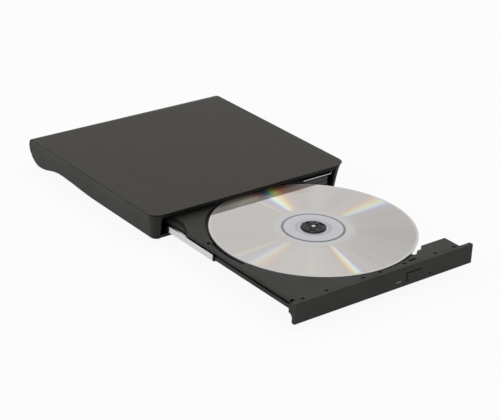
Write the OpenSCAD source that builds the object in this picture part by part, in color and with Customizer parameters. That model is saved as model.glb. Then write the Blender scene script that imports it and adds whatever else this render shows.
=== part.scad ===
// External slim disc drive: a plastic case with a rolled rear bulge, a steel slim drive inside it,
// and a tray that runs out on two telescoping rails. Drawn with the tray open and a disc on it.
// Millimetres. +X right seen from the front, +Y to the rear, +Z up, table at Z = 0.

/* [Case] */
// Width of the case at its top edge
case_w = 145; // [143:0.5:160]
// Depth of the case, front edge to the rear of the bulge
case_d = 143; // [141:0.5:160]
// Height of the top cover above the table
case_h = 20; // [20:0.5:24]
// Wall of the lower case
case_wall = 1.8; // [1.4:0.1:2.2]
// How far each side wall leans in from the top edge to the front underside
side_lean = 3.8; // [2:0.1:4]
// Height of the flat front underside above the table
underside_z = 3.2; // [2.6:0.1:3.4]
// Height of the waist just in front of the bulge
waist_z = 5.2; // [4:0.1:5.6]
// Length from the lowest line of the bulge to the waist
bulge_len = 26; // [20:1:30]
// Radius of the front corners at the underside
corner_r = 3.8; // [2.6:0.1:5]
// Thickness of the top cover
lid_t = 1.8; // [1.4:0.1:1.9]
// Visible edge of the top cover above the seam
lid_edge = 0.7; // [0.5:0.1:1]
// Width of the seam groove under the top cover
seam_gap = 0.5; // [0.3:0.1:0.8]
// Angle at which the top cover ends below the rear, from the bulge's centre
seam_angle = -20; // [-30:1:-15]

/* [Disc] */
// Diameter of the disc
disc_d = 120; // [118:0.5:120]
// Diameter of the hole in the disc
disc_hole_d = 15; // [14:0.1:16]
// Thickness of the disc
disc_t = 1.2; // [1:0.05:1.3]
// Disc centre to the right of the case's centre plane
disc_x = 2.4; // [1.5:0.1:2.8]

/* [Slim drive] */
// Width of the steel case
drive_w = 128; // [128:0.5:129]
// Depth of the steel case
drive_d = 125; // [124.6:0.1:127]
// Height of the steel case
drive_h = 9.5; // [9.4:0.1:9.8]
// Steel sheet thickness
sheet_t = 0.5; // [0.4:0.05:0.6]
// Width of the thin right section, where only the disc runs
thin_w = 22.5; // [20:0.5:24]

/* [Tray] */
// Travel of the tray from shut to open
tray_travel = 118; // [100:1:118]
// Diameter of the disc recess
recess_d = 124; // [121.5:0.5:124.5]
// Thickness of the recess floor
floor_t = 1; // [0.8:0.1:1.1]
// Width of the front shelf on the right, measured from the centre plane
shelf_x = 56.4; // [50:0.2:60]

/* [Bezel] */
// Width of the bezel
bezel_w = 128.6; // [128:0.2:129.4]
// Height of the bezel
bezel_h = 12; // [11.4:0.1:12.2]
// Thickness of the bezel plate
bezel_t = 2.6; // [2:0.1:2.7]
// Depth of the bezel's end caps
bezel_end_d = 5.5; // [4.5:0.1:5.5]
// Width of the eject button
button_w = 10.4; // [8:0.2:12]
// Height of the eject button
button_h = 4.5; // [3.5:0.1:4.7]

/* [Rails] */
// Length of each telescoping rail
rail_l = 102; // [85:1:108]
// Height of each rail
rail_h = 3.7; // [3.4:0.1:3.8]
// Sheet thickness of each rail
rail_t = 0.4; // [0.3:0.05:0.5]

/* [Traverse] */
// Direction of the pickup's travel, seen from above
sled_angle = 225; // [222:1:228]
// Travel of the pickup
pickup_travel = 33; // [28:0.5:33]
// Distance of the lens from the spindle at rest
lens_r0 = 24.5; // [23.5:0.5:25]
// Diameter of the guide rods
rod_d = 1.6; // [1.2:0.1:1.7]
// Diameter of the lead screw
screw_d = 1.6; // [1.2:0.1:1.8]
// Diameter of the turntable
turntable_d = 29; // [26:0.5:30]
// Diameter of the motor shaft
shaft_d = 2; // [1.5:0.1:2.4]

/* [Hidden] */
$fn = 64;
eps = 0.01;
far = 400;
over = 1;

// Clearances
slide_gap = 0.3;
run_gap = 0.03;
fit_gap = 0.1;
close_gap = 0.3;
drive_gap = 0.3;

// Levels and lengths of the case
pad_t = 0.5;
bulge_r = (case_h - pad_t) / 2;
bulge_z = pad_t + bulge_r;
waist_len = 40;
bezel_proud = 0.5;
span = case_d + tray_travel + bezel_proud;
rear_y = span / 2;
front_y = rear_y - case_d;
bezel_y = -span / 2;
bulge_y = rear_y - bulge_r;
lean_power = 0.6;
corner_top_r = corner_r + side_lean;

// Levels of the slim drive, from its roof down to its pan
drive_z1 = case_h - lid_t - drive_gap;
drive_z0 = drive_z1 - drive_h;
pan_z = drive_z0 + sheet_t;
roof_z = drive_z1 - sheet_t;
drive_y0 = front_y + bezel_end_d - bezel_proud + close_gap;
drive_y1 = drive_y0 + drive_d;
waist_under = 23;
waist_y = min(bulge_y - bulge_len, drive_y1 - waist_under);
flat_y = waist_y - waist_len;
headroom = 2;
disc_z1 = roof_z - headroom;
disc_z0 = disc_z1 - disc_t;
disc_setback = 66.2;
disc_y = bezel_y + disc_setback;

// Levels of the tray
disc_lift = 0.9;
floor_z1 = disc_z0 - disc_lift;
floor_z0 = floor_z1 - floor_t;
tray_z0 = pan_z + slide_gap;
rim_rise = 0.4;
rim_z1 = disc_z1 + rim_rise;
rail_roof_gap = 0.2;
guide_z1 = pan_z + slide_gap + rail_h + rail_roof_gap + sheet_t;
guide_z0 = guide_z1 - sheet_t;
rim_gap = 0.4;
rim_z0 = guide_z1 + rim_gap;
bezel_rise = 0.1;
bezel_z1 = rim_z1 + bezel_rise;
bezel_z0 = bezel_z1 - bezel_h;

// Sides of the tray, worked out from the pan and the rails
rail_depth = 1.8;
rail_side_gap = 0.8;
step_x = drive_w / 2 - thin_w;
rail_z0 = pan_z + slide_gap;
rail_z1 = rail_z0 + rail_h;
left_rail_x = -drive_w / 2 + sheet_t + slide_gap;
right_rail_x = step_x - sheet_t - slide_gap;
tray_x0 = left_rail_x + rail_depth + rail_side_gap;
tray_x1 = right_rail_x - rail_depth - rail_side_gap;
tongue_z0 = rail_z0 + rail_t + slide_gap;
tongue_z1 = rail_z1 - rail_t - slide_gap;
tray_skirt = 1.2;
tray_gap = 0.2;
tray_front = -disc_setback + bezel_t + tray_gap;
rear_wall = 0.8;
tray_rear = recess_d / 2 + rear_wall;
rim_side_gap = 0.6;
rim_x0 = -drive_w / 2 + sheet_t + rim_side_gap;
bezel_back = -disc_setback + bezel_t;

// Lean of the side wall at a depth below the top edge
function lean(depth) = side_lean * pow(depth / (case_h - underside_z), lean_power);

// Height of the underside along the case: bulge, waist, flat front
function wave_z(y) =
    y > bulge_y ? pad_t
    : y > waist_y ? pad_t + (waist_z - pad_t) * (1 - cos(180 * (bulge_y - y) / (bulge_y - waist_y))) / 2
    : y > flat_y ? waist_z - (waist_z - underside_z) * (1 - cos(180 * (waist_y - y) / waist_len)) / 2
    : underside_z;

// A flat outline raised between two heights
module slab(z0, z1) {
    translate([0, 0, z0]) linear_extrude(z1 - z0) children();
}

// A side outline (Y, Z) carried from one X to another
module across(x0, x1) {
    translate([x0, 0, 0]) rotate([90, 0, 90]) linear_extrude(x1 - x0) children();
}

// A front outline (X, Z) carried from one Y to another
module along(y0, y1) {
    translate([0, y1, 0]) rotate([90, 0, 0]) linear_extrude(y1 - y0) children();
}

// A box between two corners
module block(a, b) {
    translate(a) cube(b - a);
}

// A flat rectangle between two corners
module patch(a, b) {
    translate(a) square(b - a);
}

// An upright round post or hole
module post(x, y, r, z0, z1) {
    translate([x, y, z0]) cylinder(r = r, h = z1 - z0);
}

// The tray's own frame: X as in the case, Y counted from the disc's centre
module on_tray() {
    translate([0, disc_y, 0]) children();
}

// The traverse's own frame: X along the pickup's travel, Y across it, spindle at zero
module on_traverse() {
    translate([disc_x, disc_y, 0]) rotate(sled_angle) children();
}

// Case shells

wave_steps = 24;
wave_lead = 4;
lean_steps = 11;
roll_fn = 96;

// Side outline of the case, drawn in by an even inset
module case_side(inset) {
    polygon(concat(
        [for (i = [0 : wave_steps])
            let (y = flat_y - wave_lead + (bulge_y - flat_y + wave_lead) * i / wave_steps)
            [y, wave_z(y) + inset]],
        [[bulge_y, case_h - inset], [front_y - over, case_h - inset], [front_y - over, underside_z + inset]]
    ));
    translate([bulge_y, bulge_z]) circle(r = bulge_r - inset, $fn = roll_fn);
}

// A leaning wall: how far it stands in from the top edge, against the height
function wall_line(inset) = [
    for (i = [0 : lean_steps])
        let (depth = case_h * pow(i / lean_steps, 2)) [lean(depth) + inset, case_h - depth]
];

// Front outline of the case: each side leans in quickly under the edge, then more slowly
module case_front(inset) {
    half = [for (p = wall_line(inset)) [case_w / 2 - p[0], p[1]]];
    top = case_w / 2 - inset;
    polygon(concat(
        [[-top, case_h + over], [top, case_h + over]],
        half,
        [for (i = [lean_steps : -1 : 0]) [-half[i][0], half[i][1]]]
    ));
}

// Body of the case: leaning sides and front, joined by round front corners
module case_body(inset) {
    x = case_w / 2 - corner_top_r;
    y = front_y + corner_top_r;
    along(y, rear_y + over) case_front(inset);
    across(-x, x) polygon(concat(
        [[y, case_h + over], [front_y + inset, case_h + over]],
        [for (p = wall_line(inset)) [front_y + p[0], p[1]]],
        [[y, 0]]
    ));
    for (side = [-1, 1]) translate([side * x, y, 0]) rotate(side > 0 ? -90 : 180)
        rotate_extrude(angle = 90) polygon(concat(
            [[0, case_h + over], [corner_top_r - inset, case_h + over]],
            [for (p = wall_line(inset)) [corner_top_r - p[0], p[1]]],
            [[0, 0]]
        ));
}

// The part of the side outline that belongs to the top cover
module lid_zone(angle, drop) {
    polygon([
        [front_y - 2 * over, case_h - drop], [bulge_y, bulge_z],
        [bulge_y + far * cos(angle), bulge_z + far * sin(angle)],
        [bulge_y + far, case_h + far], [front_y - 2 * over, case_h + far],
    ]);
}

lid_zone_drop = 6;
lip_gap = 0.15;
front_lip_t = 1.8;
lip_drop = 0.3;
front_lip_z0 = roof_z - lip_drop;
front_lip_y = front_y + lean(case_h - front_lip_z0);
mouth_gap = 0.7;
mouth_x = bezel_w / 2 + mouth_gap;
lid_boss_x = 56;
boss_setback = 1.5;
lid_boss_y = bulge_y + boss_setback;
lid_boss_r = 2.75;
boss_split_drop = 1.25;
boss_split_z = bulge_z - boss_split_drop;
case_screw_r = 1;
case_screw_head_r = 2;
case_screw_head_t = 1.4;
case_screw_floor = 2.6;
case_screw_seat_z = pad_t + case_screw_floor;
case_screw_bite = 6;
case_screw_tip_z = boss_split_z + case_screw_bite;
pilot_extra = 1;
tab_l = 10;
tab_t = 1;
tab_drop = 4;
tab_places = [8, 52, 96];

usb_w = 8.94;
usb_h = 3.26;
usb_l = 7.1;
usb_wall = 0.3;
usb_window_start = 4;
board_t = 1.2;
bridge_lift = 3.9;
bridge_z0 = pad_t + bridge_lift;
usb_x = 22;
usb_z = bridge_z0 + board_t + usb_h / 2;
usb_window_gap = 0.4;
usb_window_y = bulge_y + usb_window_start;

// The window in the rear wall for the inlet
module usb_window() {
    across(usb_x - usb_w / 2 - usb_window_gap, usb_x + usb_w / 2 + usb_window_gap)
        patch([usb_window_y, usb_z - usb_h / 2 - usb_window_gap],
              [rear_y + over, usb_z + usb_h / 2 + usb_window_gap]);
}

module top_cover() color([0.16, 0.16, 0.17]) {
    lip = case_wall + lip_gap;
    difference() {
        union() {
            // The plate and its roll, with the visible edge
            intersection() {
                across(-case_w, case_w) intersection() {
                    difference() {
                        case_side(0);
                        case_side(lid_edge);
                    }
                    lid_zone(seam_angle, lid_zone_drop);
                }
                case_body(0);
            }
            // The stepped lip that drops inside the lower case
            intersection() {
                across(-case_w, case_w) intersection() {
                    difference() {
                        case_side(lid_edge - eps);
                        case_side(lid_t);
                    }
                    lid_zone(seam_angle, lid_zone_drop);
                }
                case_body(lip);
            }
            // Lip over the mouth
            block([-mouth_x + lip_gap, front_lip_y, front_lip_z0],
                  [mouth_x - lip_gap, front_lip_y + front_lip_t, case_h - lid_edge + eps]);
            // Locating tabs along both sides
            for (side = [-1, 1], place = tab_places) {
                x = case_w / 2 - lean(lid_t + tab_drop) - lip - tab_t / 2;
                translate([side * x - tab_t / 2, front_y + place, case_h - lid_t - tab_drop])
                    cube([tab_t, tab_l, tab_drop + eps]);
            }
            // Screw bosses in the bulge
            for (side = [-1, 1])
                post(side * lid_boss_x, lid_boss_y, lid_boss_r, boss_split_z, case_h - lid_t);
        }
        for (side = [-1, 1])
            post(side * lid_boss_x, lid_boss_y, case_screw_r + fit_gap / 2,
                 boss_split_z - eps, case_screw_tip_z + pilot_extra);
        usb_window();
    }
}

mouth_d = 4.2;
mouth_back = side_lean + case_wall + fit_gap;
tub_boss_r = 3;
rib_t = 1.6;
rib_inset = 19;
rib_x = drive_w / 2 - rib_inset;
rib_shift = 10;
rib_setback = 5;
rib_y0 = drive_y0 + rib_setback;
rib_y1 = flat_y;
cross_rib_inset = 6;
cross_rib_x0 = -drive_w / 2 + cross_rib_inset;
cross_rib_end = 4;
cross_rib_x1 = step_x - cross_rib_end;
side_rib_places = [16, 70, 108];
side_rib_t = 1.5;
side_rib_h = 5;
side_rib_z = drive_z0 + side_rib_h;
side_rib_gap = 0.1;
foot_x = 52;
foot_setback = 18;
foot_y = front_y + foot_setback;
foot_r = 4.5;
foot_seat = 0.5;
pad_w = 18;
pad_l = 6;
pad_seat = 0.9;
pad_x = 40;
board_post_r = 2;
board_post_places = [-14, 31];
board_post_shift = 0.4;
board_post_y = bulge_y - board_post_shift;
bracket_x = 12;
bracket_post_y = bulge_y + boss_setback;
bracket_post_r = 2.5;
pilot_floor = 2.2;
seam_step = 2;

// The solid that the lower case is hollowed from
module tub_outer() {
    intersection() {
        across(-case_w, case_w) {
            case_side(lid_edge + seam_gap);
            difference() {
                case_side(0);
                lid_zone(seam_angle - seam_step, lid_zone_drop);
                patch([front_y - 2 * over, bulge_z], [bulge_y, case_h + over]);
            }
            intersection() {
                case_side(0);
                patch([front_y - 2 * over, 0], [bulge_y, case_h - lid_edge - seam_gap]);
            }
        }
        case_body(0);
    }
}

module bottom_cover() color([0.12, 0.12, 0.13]) difference() {
    union() {
        difference() {
            tub_outer();
            intersection() {
                across(-case_w, case_w) {
                    case_side(case_wall);
                    lid_zone(seam_angle, lid_zone_drop);
                }
                case_body(case_wall);
            }
        }
        // Ribs and posts that carry the drive and the bridge board, clipped by the case's own outline
        intersection() {
            tub_outer();
            union() {
                for (side = [-1, 1])
                    block([side * rib_x - rib_t / 2 - rib_shift, rib_y0, underside_z + case_wall / 2],
                          [side * rib_x + rib_t / 2 - rib_shift, rib_y1, drive_z0]);
                block([cross_rib_x0, rib_y0, underside_z + case_wall / 2],
                      [cross_rib_x1, rib_y0 + rib_t, drive_z0]);
                block([cross_rib_x0, waist_y - rib_t, waist_z + case_wall / 2],
                      [cross_rib_x1, waist_y, drive_z0]);
                for (side = [-1, 1], place = side_rib_places)
                    translate([side > 0 ? drive_w / 2 + side_rib_gap : -drive_w / 2 - side_rib_gap - far,
                               front_y + place, wave_z(front_y + place) + case_wall / 2])
                        cube([far, side_rib_t, side_rib_z - wave_z(front_y + place) - case_wall / 2]);
                for (side = [-1, 1]) post(side * lid_boss_x, lid_boss_y, tub_boss_r, pad_t, boss_split_z);
                for (x = board_post_places) post(x, board_post_y, board_post_r, pad_t, bridge_z0);
                post(bracket_x, bracket_post_y, bracket_post_r, pad_t, drive_z0);
            }
        }
    }
    // Mouth for the tray: the bezel stands in front of the floor, and the tray passes over it
    block([-mouth_x, front_y - over, -over], [mouth_x, front_y + mouth_d, case_h + over]);
    block([-mouth_x, front_y, underside_z + case_wall], [mouth_x, front_y + mouth_back, case_h + over]);
    // Screw holes through the bosses
    for (side = [-1, 1]) {
        post(side * lid_boss_x, lid_boss_y, case_screw_r + fit_gap, 0, boss_split_z + over);
        post(side * lid_boss_x, lid_boss_y, case_screw_head_r + fit_gap, -over, case_screw_seat_z);
    }
    for (x = board_post_places)
        post(x, board_post_y, board_screw_r + fit_gap, pad_t + pilot_floor, bridge_z0 + over);
    post(bracket_x, bracket_post_y, board_screw_r + fit_gap, pad_t + pilot_floor, drive_z0 + over);
    // Seats of the feet and pads
    for (side = [-1, 1]) {
        post(side * foot_x, foot_y, foot_r + fit_gap, 0, underside_z + foot_seat);
        block([side * pad_x - pad_w / 2 - fit_gap, bulge_y - pad_l / 2 - fit_gap, -over],
              [side * pad_x + pad_w / 2 + fit_gap, bulge_y + pad_l / 2 + fit_gap, pad_t + pad_seat]);
    }
    usb_window();
}

foot_chamfer = 0.6;

module front_feet() color([0.08, 0.08, 0.08])
    for (side = [-1, 1]) translate([side * foot_x, foot_y, 0]) rotate_extrude()
        polygon([[0, 0], [foot_r - foot_chamfer, 0], [foot_r, foot_chamfer],
                 [foot_r, underside_z + foot_seat], [0, underside_z + foot_seat]]);

module rear_pads() color([0.08, 0.08, 0.08])
    for (side = [-1, 1])
        block([side * pad_x - pad_w / 2, bulge_y - pad_l / 2, 0],
              [side * pad_x + pad_w / 2, bulge_y + pad_l / 2, pad_t + pad_seat]);

module case_screws() color([0.5, 0.5, 0.52])
    for (side = [-1, 1]) {
        post(side * lid_boss_x, lid_boss_y, case_screw_head_r,
             case_screw_seat_z - case_screw_head_t, case_screw_seat_z);
        post(side * lid_boss_x, lid_boss_y, case_screw_r, case_screw_seat_z - eps, case_screw_tip_z);
    }

// Slim drive: steel case

flange_z = guide_z1 + fit_gap;
rear_flange_gap = 0.8;
rear_flange_z = guide_z1 + rear_flange_gap;
guide_tab_l = 9;
guide_tab_w = 1.6;
guide_tabs = [8, 43, 78];
pan_wall_setback = 6;
thin_lip = 1.2;
drive_screw_inset = 6;
drive_screw_x = drive_w / 2 - drive_screw_inset;
drive_screw_drop = 2.2;
drive_screw_z = drive_z1 - drive_screw_drop;
drive_screw_r = 0.8;
drive_screw_head_r = 1.5;
drive_screw_head_t = 0.6;
drive_screw_reach = 0.6;
plug_w = 32;
plug_h = 4;
plug_inset = 30;
plug_x = -drive_w / 2 + plug_inset;
plug_lift = 2.6;
plug_z = pan_z + plug_lift;
plug_l = 3.4;
roof_bead_r = 45;
roof_bead_w = 4;
roof_bead_depth = 0.2;

module drive_top_case() color([0.75, 0.76, 0.77]) difference() {
    union() {
        block([-drive_w / 2, drive_y0, roof_z], [drive_w / 2, drive_y1 + sheet_t, drive_z1]);
        for (side = [-1, 1])
            translate([side > 0 ? drive_w / 2 - sheet_t : -drive_w / 2, drive_y0, flange_z])
                cube([sheet_t, drive_d, drive_z1 - flange_z]);
        block([-drive_w / 2, drive_y1, rear_flange_z], [drive_w / 2, drive_y1 + sheet_t, drive_z1]);
    }
    // Ring pressed into the roof over the disc
    translate([disc_x, disc_y + tray_travel, drive_z1 - roof_bead_depth]) difference() {
        cylinder(r = roof_bead_r, h = over);
        translate([0, 0, -over]) cylinder(r = roof_bead_r - roof_bead_w, h = 3 * over);
    }
    for (side = [-1, 1]) translate([side * drive_screw_x, drive_y1 - 2 * over, drive_screw_z])
        rotate([-90, 0, 0]) cylinder(r = drive_screw_r + fit_gap, h = 4 * over);
}

module drive_bottom_case() color([0.72, 0.73, 0.74]) difference() {
    union() {
        // Deep section, its left wall, cut back for the bezel's end cap, and its step up to the thin section
        block([-drive_w / 2, drive_y0, drive_z0], [step_x, drive_y1, pan_z]);
        block([-drive_w / 2, drive_y0 + pan_wall_setback, drive_z0],
              [-drive_w / 2 + sheet_t, drive_y1, guide_z1]);
        block([step_x - sheet_t, drive_y0, drive_z0], [step_x, drive_y1, guide_z1]);
        // Thin section, which also roofs the right rail and has a lip at its front
        block([right_rail_x - guide_tab_w + slide_gap, drive_y0 - thin_lip, guide_z0],
              [drive_w / 2, drive_y1, guide_z1]);
        // Rear wall
        block([-drive_w / 2 + sheet_t, drive_y1 - sheet_t, drive_z0], [step_x, drive_y1, roof_z]);
        block([step_x - eps, drive_y1 - sheet_t, guide_z0], [drive_w / 2 - sheet_t, drive_y1, roof_z]);
        // Folded tabs that roof the left rail
        for (place = guide_tabs)
            block([-drive_w / 2, drive_y0 + place, guide_z0],
                  [-drive_w / 2 + sheet_t + guide_tab_w, drive_y0 + place + guide_tab_l, guide_z1]);
    }
    // Window for the plug, screw holes, hole of the striker pin
    translate([plug_x - plug_w / 2 - fit_gap, drive_y1 - 2 * over, plug_z - plug_h / 2 - fit_gap])
        cube([plug_w + 2 * fit_gap, 4 * over, plug_h + 2 * fit_gap]);
    for (side = [-1, 1]) translate([side * drive_screw_x, drive_y1 - 2 * over, drive_screw_z])
        rotate([-90, 0, 0]) cylinder(r = drive_screw_r + fit_gap, h = 4 * over);
    post(striker_x, striker_y, striker_rivet_r, drive_z0 - over, pan_z + over);
}

module drive_screws() color([0.6, 0.6, 0.6])
    for (side = [-1, 1]) translate([side * drive_screw_x, drive_y1 + sheet_t, drive_screw_z]) {
        rotate([-90, 0, 0]) cylinder(r = drive_screw_head_r, h = drive_screw_head_t);
        rotate([90, 0, 0]) cylinder(r = drive_screw_r, h = 2 * sheet_t + drive_screw_reach);
    }

bracket_w = 10;
bracket_t = 0.8;
bracket_h = 4.5;
bracket_bite = 3;
bracket_reach = bracket_post_y + bracket_post_r - drive_y1;

module drive_bracket() color([0.7, 0.71, 0.72]) difference() {
    union() {
        block([bracket_x - bracket_w / 2, drive_y1, drive_z0],
              [bracket_x + bracket_w / 2, drive_y1 + bracket_t, drive_z0 + bracket_h]);
        block([bracket_x - bracket_w / 2, drive_y1, drive_z0],
              [bracket_x + bracket_w / 2, drive_y1 + bracket_reach, drive_z0 + bracket_t]);
    }
    post(bracket_x, bracket_post_y, board_screw_r + fit_gap, 0, case_h);
}

module bracket_screw() color([0.5, 0.5, 0.52]) {
    post(bracket_x, bracket_post_y, board_screw_head_r,
         drive_z0 + bracket_t, drive_z0 + bracket_t + board_screw_head_t);
    post(bracket_x, bracket_post_y, board_screw_r, drive_z0 - bracket_bite, drive_z0 + bracket_t + eps);
}

// Electronics at the rear

rear_board_t = 0.8;
rear_board_h = 6.4;
rear_board_w = 44;

module rear_board() color([0.1, 0.35, 0.2])
    block([plug_x - rear_board_w / 2, drive_y1 - sheet_t - rear_board_t, pan_z + slide_gap],
          [plug_x + rear_board_w / 2, drive_y1 - sheet_t, pan_z + slide_gap + rear_board_h]);

tongue_t = 1.2;
tongue_end = 2;
tongue_reach = 2;

module rear_plug() color([0.1, 0.1, 0.1]) {
    translate([plug_x - plug_w / 2, drive_y1 - sheet_t, plug_z - plug_h / 2])
        cube([plug_w, sheet_t + plug_l / 2, plug_h]);
    translate([plug_x - plug_w / 2 + tongue_end, drive_y1, plug_z - tongue_t / 2])
        cube([plug_w - 2 * tongue_end, plug_l + tongue_reach, tongue_t]);
}

ribbon_w = 18;
ribbon_t = 0.15;
ribbon_shift = 3;
ribbon_x = plug_x + ribbon_shift;
ribbon_gap = 0.12;
ribbon_z = pan_z + ribbon_gap;
ribbon_rise = 1.2;
ribbon_rear = drive_y1 - sheet_t - rear_board_t;
ribbon_lift_y = 4;
ribbon_end = 2;

// The flat cable lies on the pan behind the tray and climbs to the tray's socket
module ribbon_cable() color([0.85, 0.85, 0.82])
    across(ribbon_x - ribbon_w / 2, ribbon_x + ribbon_w / 2) {
        top = ribbon_z + ribbon_t;
        socket_y = disc_y + socket_y1;
        polygon([
            [ribbon_rear, top + ribbon_rise], [ribbon_rear, ribbon_z + ribbon_rise],
            [ribbon_rear - ribbon_rise, ribbon_z], [ribbon_lift_y, ribbon_z],
            [socket_y + ribbon_end, socket_z], [socket_y, socket_z], [socket_y, socket_z + ribbon_t],
            [socket_y + ribbon_end, socket_z + ribbon_t], [ribbon_lift_y, top],
            [ribbon_rear - ribbon_rise, top],
        ]);
    }

striker_r = 1;
striker_rivet_r = 0.6;
striker_from_disc = -37;
striker_side_gap = 2;
striker_h = 2.5;
striker_x = tray_x1 - tray_skirt - striker_side_gap;
striker_y = disc_y + tray_travel + striker_from_disc;

module striker_pin() color([0.75, 0.75, 0.76]) {
    post(striker_x, striker_y, striker_r, pan_z, pan_z + striker_h);
    post(striker_x, striker_y, striker_rivet_r, drive_z0, pan_z + eps);
}

bridge_x0 = -52;
bridge_x1 = 44;
bridge_gap = 1.4;
bridge_y0 = drive_y1 + bridge_gap;
bridge_reach = 5;
bridge_y1 = bulge_y + bridge_reach;
board_screw_r = 0.8;
board_screw_head_r = 1.6;
board_screw_head_t = 0.8;
board_screw_bite = 1.4;

module bridge_board() color([0.1, 0.35, 0.2]) difference() {
    block([bridge_x0, bridge_y0, bridge_z0], [bridge_x1, bridge_y1, bridge_z0 + board_t]);
    for (x = board_post_places)
        post(x, board_post_y, board_screw_r + fit_gap, 0, case_h);
    post(bracket_x, bracket_post_y, bracket_post_r + slide_gap, 0, case_h);
}

module board_screws() color([0.5, 0.5, 0.52])
    for (x = board_post_places) {
        post(x, board_post_y, board_screw_head_r,
             bridge_z0 + board_t, bridge_z0 + board_t + board_screw_head_t);
        post(x, board_post_y, board_screw_r, bridge_z0 - board_screw_bite, bridge_z0 + board_t + eps);
    }

socket_depth = 3.4;
socket_back = 0.8;
socket_play = 0.4;

module bridge_socket() color([0.1, 0.1, 0.1]) {
    y0 = drive_y1 + plug_l / 2 + fit_gap;
    difference() {
        translate([plug_x - plug_w / 2, y0, bridge_z0 + board_t])
            cube([plug_w, socket_depth + socket_back, plug_z + plug_h / 2 - bridge_z0 - board_t]);
        translate([plug_x - plug_w / 2 + tongue_end - fit_gap, y0 - over, plug_z - tongue_t / 2 - fit_gap])
            cube([plug_w - 2 * tongue_end + 2 * fit_gap, socket_depth + over + fit_gap + socket_play,
                  tongue_t + 2 * fit_gap]);
    }
}

chip_t = 0.9;
chip_gap = 0.6;
bridge_chip_list = [[-8, 5], [2, 3], [34, 3.5]];

module bridge_chips() color([0.06, 0.06, 0.06])
    for (chip = bridge_chip_list)
        translate([chip[0], bridge_y0 + chip_gap, bridge_z0 + board_t]) cube([chip[1], chip[1], chip_t]);

// Rounded slot outline of the inlet
module usb_slot(inset) {
    r = usb_h / 2 - inset;
    patch([-usb_w / 2 + usb_h / 2, -r], [usb_w / 2 - usb_h / 2, r]);
    for (side = [-1, 1]) translate([side * (usb_w / 2 - usb_h / 2), 0]) circle(r = r);
}

usb_inset = 1.1;
usb_y1 = rear_y - usb_inset;
usb_floor = 1;
usb_blade_short = 1.2;
usb_blade_w = 6.6;
usb_blade_t = 0.7;

module usb_socket() color([0.8, 0.8, 0.82]) {
    translate([usb_x, 0, usb_z]) {
        difference() {
            along(usb_y1 - usb_l, usb_y1) usb_slot(0);
            along(usb_y1 - usb_l + usb_floor, usb_y1 + over) usb_slot(usb_wall);
        }
        along(usb_y1 - usb_l + usb_floor - eps, usb_y1 - usb_blade_short)
            patch([-usb_blade_w / 2, -usb_blade_t / 2], [usb_blade_w / 2, usb_blade_t / 2]);
    }
}

// Telescoping rails

rail_front = 6.5;
rail_y0 = disc_y + rail_front;

// One rail: a channel that opens toward the tray; side is -1 on the left and 1 on the right
module rail(x, side) {
    along(rail_y0, rail_y0 + rail_l) difference() {
        translate([side < 0 ? x : x - rail_depth, rail_z0]) square([rail_depth, rail_h]);
        translate([side < 0 ? x + rail_t : x - rail_t - rail_depth, rail_z0 + rail_t])
            square([rail_depth, rail_h - 2 * rail_t]);
    }
}

module left_rail() color([0.8, 0.81, 0.82]) rail(left_rail_x, -1);

module right_rail() color([0.8, 0.81, 0.82]) rail(right_rail_x, 1);

// Tray

recess_r = recess_d / 2;
shelf_y = -51.5;
shelf_steps = [[38.2, -51.4], [35.1, -54.6], [32.2, -54.7], [28.5, -57.8], [26.7, -57.1], [26.7, -40],
               [38.2, -40]];
sliver_x = 30;
front_cut = 57;
cut_a = [29.9, -54];
cut_b_y = -38;
cut_margin = 2;
chamfer_a = [rim_x0 + 0.6, 32.5];
chamfer_b = [rim_x0 + 6.1, 44.3];
tongue_y0 = -60.5;
tongue_y1 = 60;
end_cap_w = 3;
cap_room = 0.9;
relief_step = 1.5;
relief_y0 = -14.6;
relief_y1 = 14.5;
relief_notch_x0 = -61.4;
relief_notch_x1 = -59;
relief_notch_l = 2.2;
clip_w = 1.8;
clip_l = 1.6;
clip_places = [-56.8, -40.7, -15, -2.8, 15.4, 38.4, 52.8];
clip_drop = 0.5;
clip_t = 0.7;
clip_z1 = rim_z1 - clip_drop;
clip_z0 = clip_z1 - clip_t;
notch_gap = 0.3;
notch_drop = 0.2;
slot_x = 22.1;
slot_w = 6;
slot_y = -61.5;
slot_l = 1.6;
slot_depth = 1.2;
front_board_x0 = 4;
front_board_x1 = 28;
front_board_y = -61.5;
front_board_t = 0.7;
front_board_h = 5.9;
front_board_lane = 2;
latch_lane = 8;
striker_lane = 1.7;
ribbon_lane = 2;

// Traverse opening in the floor: round over the turntable, straight along the lens's path
module lens_path(r, half, reach) {
    circle(r = r);
    patch([0, -half], [reach, half]);
}

deck_margin = 3.5;
deck_r = turntable_d / 2 + deck_margin;
deck_half = 8;
deck_end = 3.4;
deck_reach = lens_r0 + pickup_travel + deck_end;
deck_t = 0.4;
deck_gap = 0.15;
deck_ledge = 2;
deck_end_ledge = 0.6;
window_half = 4;
window_end = 2.7;
damper_places = [[-13, -15], [-9, 20], [71.5, 0]];
damper_screw_r = 0.8;
board_y0 = 30;
board_y1 = 58;
main_board_inset = 4.6;
main_board_clear = 16.1;
main_board_x0 = tray_x0 + main_board_inset;
main_board_x1 = tray_x1 - main_board_clear;
main_board_t = 0.8;
main_board_drop = 0.5;
main_board_z1 = floor_z0 - main_board_drop;
main_screw_inset = 4;
main_screw_places = [
    for (x = [main_board_x0 + main_screw_inset, main_board_x1 - main_screw_inset],
         y = [board_y0 + main_screw_inset, board_y1 - main_screw_inset]) [x, y]
];
main_boss_r = 2;
pilot_skin = 0.3;
floor_bite = 0.5;
motor_r = 1.7;
motor_l = 11;
motor_u0 = 2.2;
pocket_end = 0.5;
pocket_side = 0.4;
pocket_roof = 0.4;
screw_v = 20.4;
screw_lift = 1.9;
screw_z = tray_z0 + screw_lift;
latch_reach = 8.5;
latch_x = striker_x - latch_reach;
latch_y = -50;
latch_pin_r = 0.75;
latch_boss_r = 2;
latch_lift = 2;
latch_z1 = pan_z + latch_lift;

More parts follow.
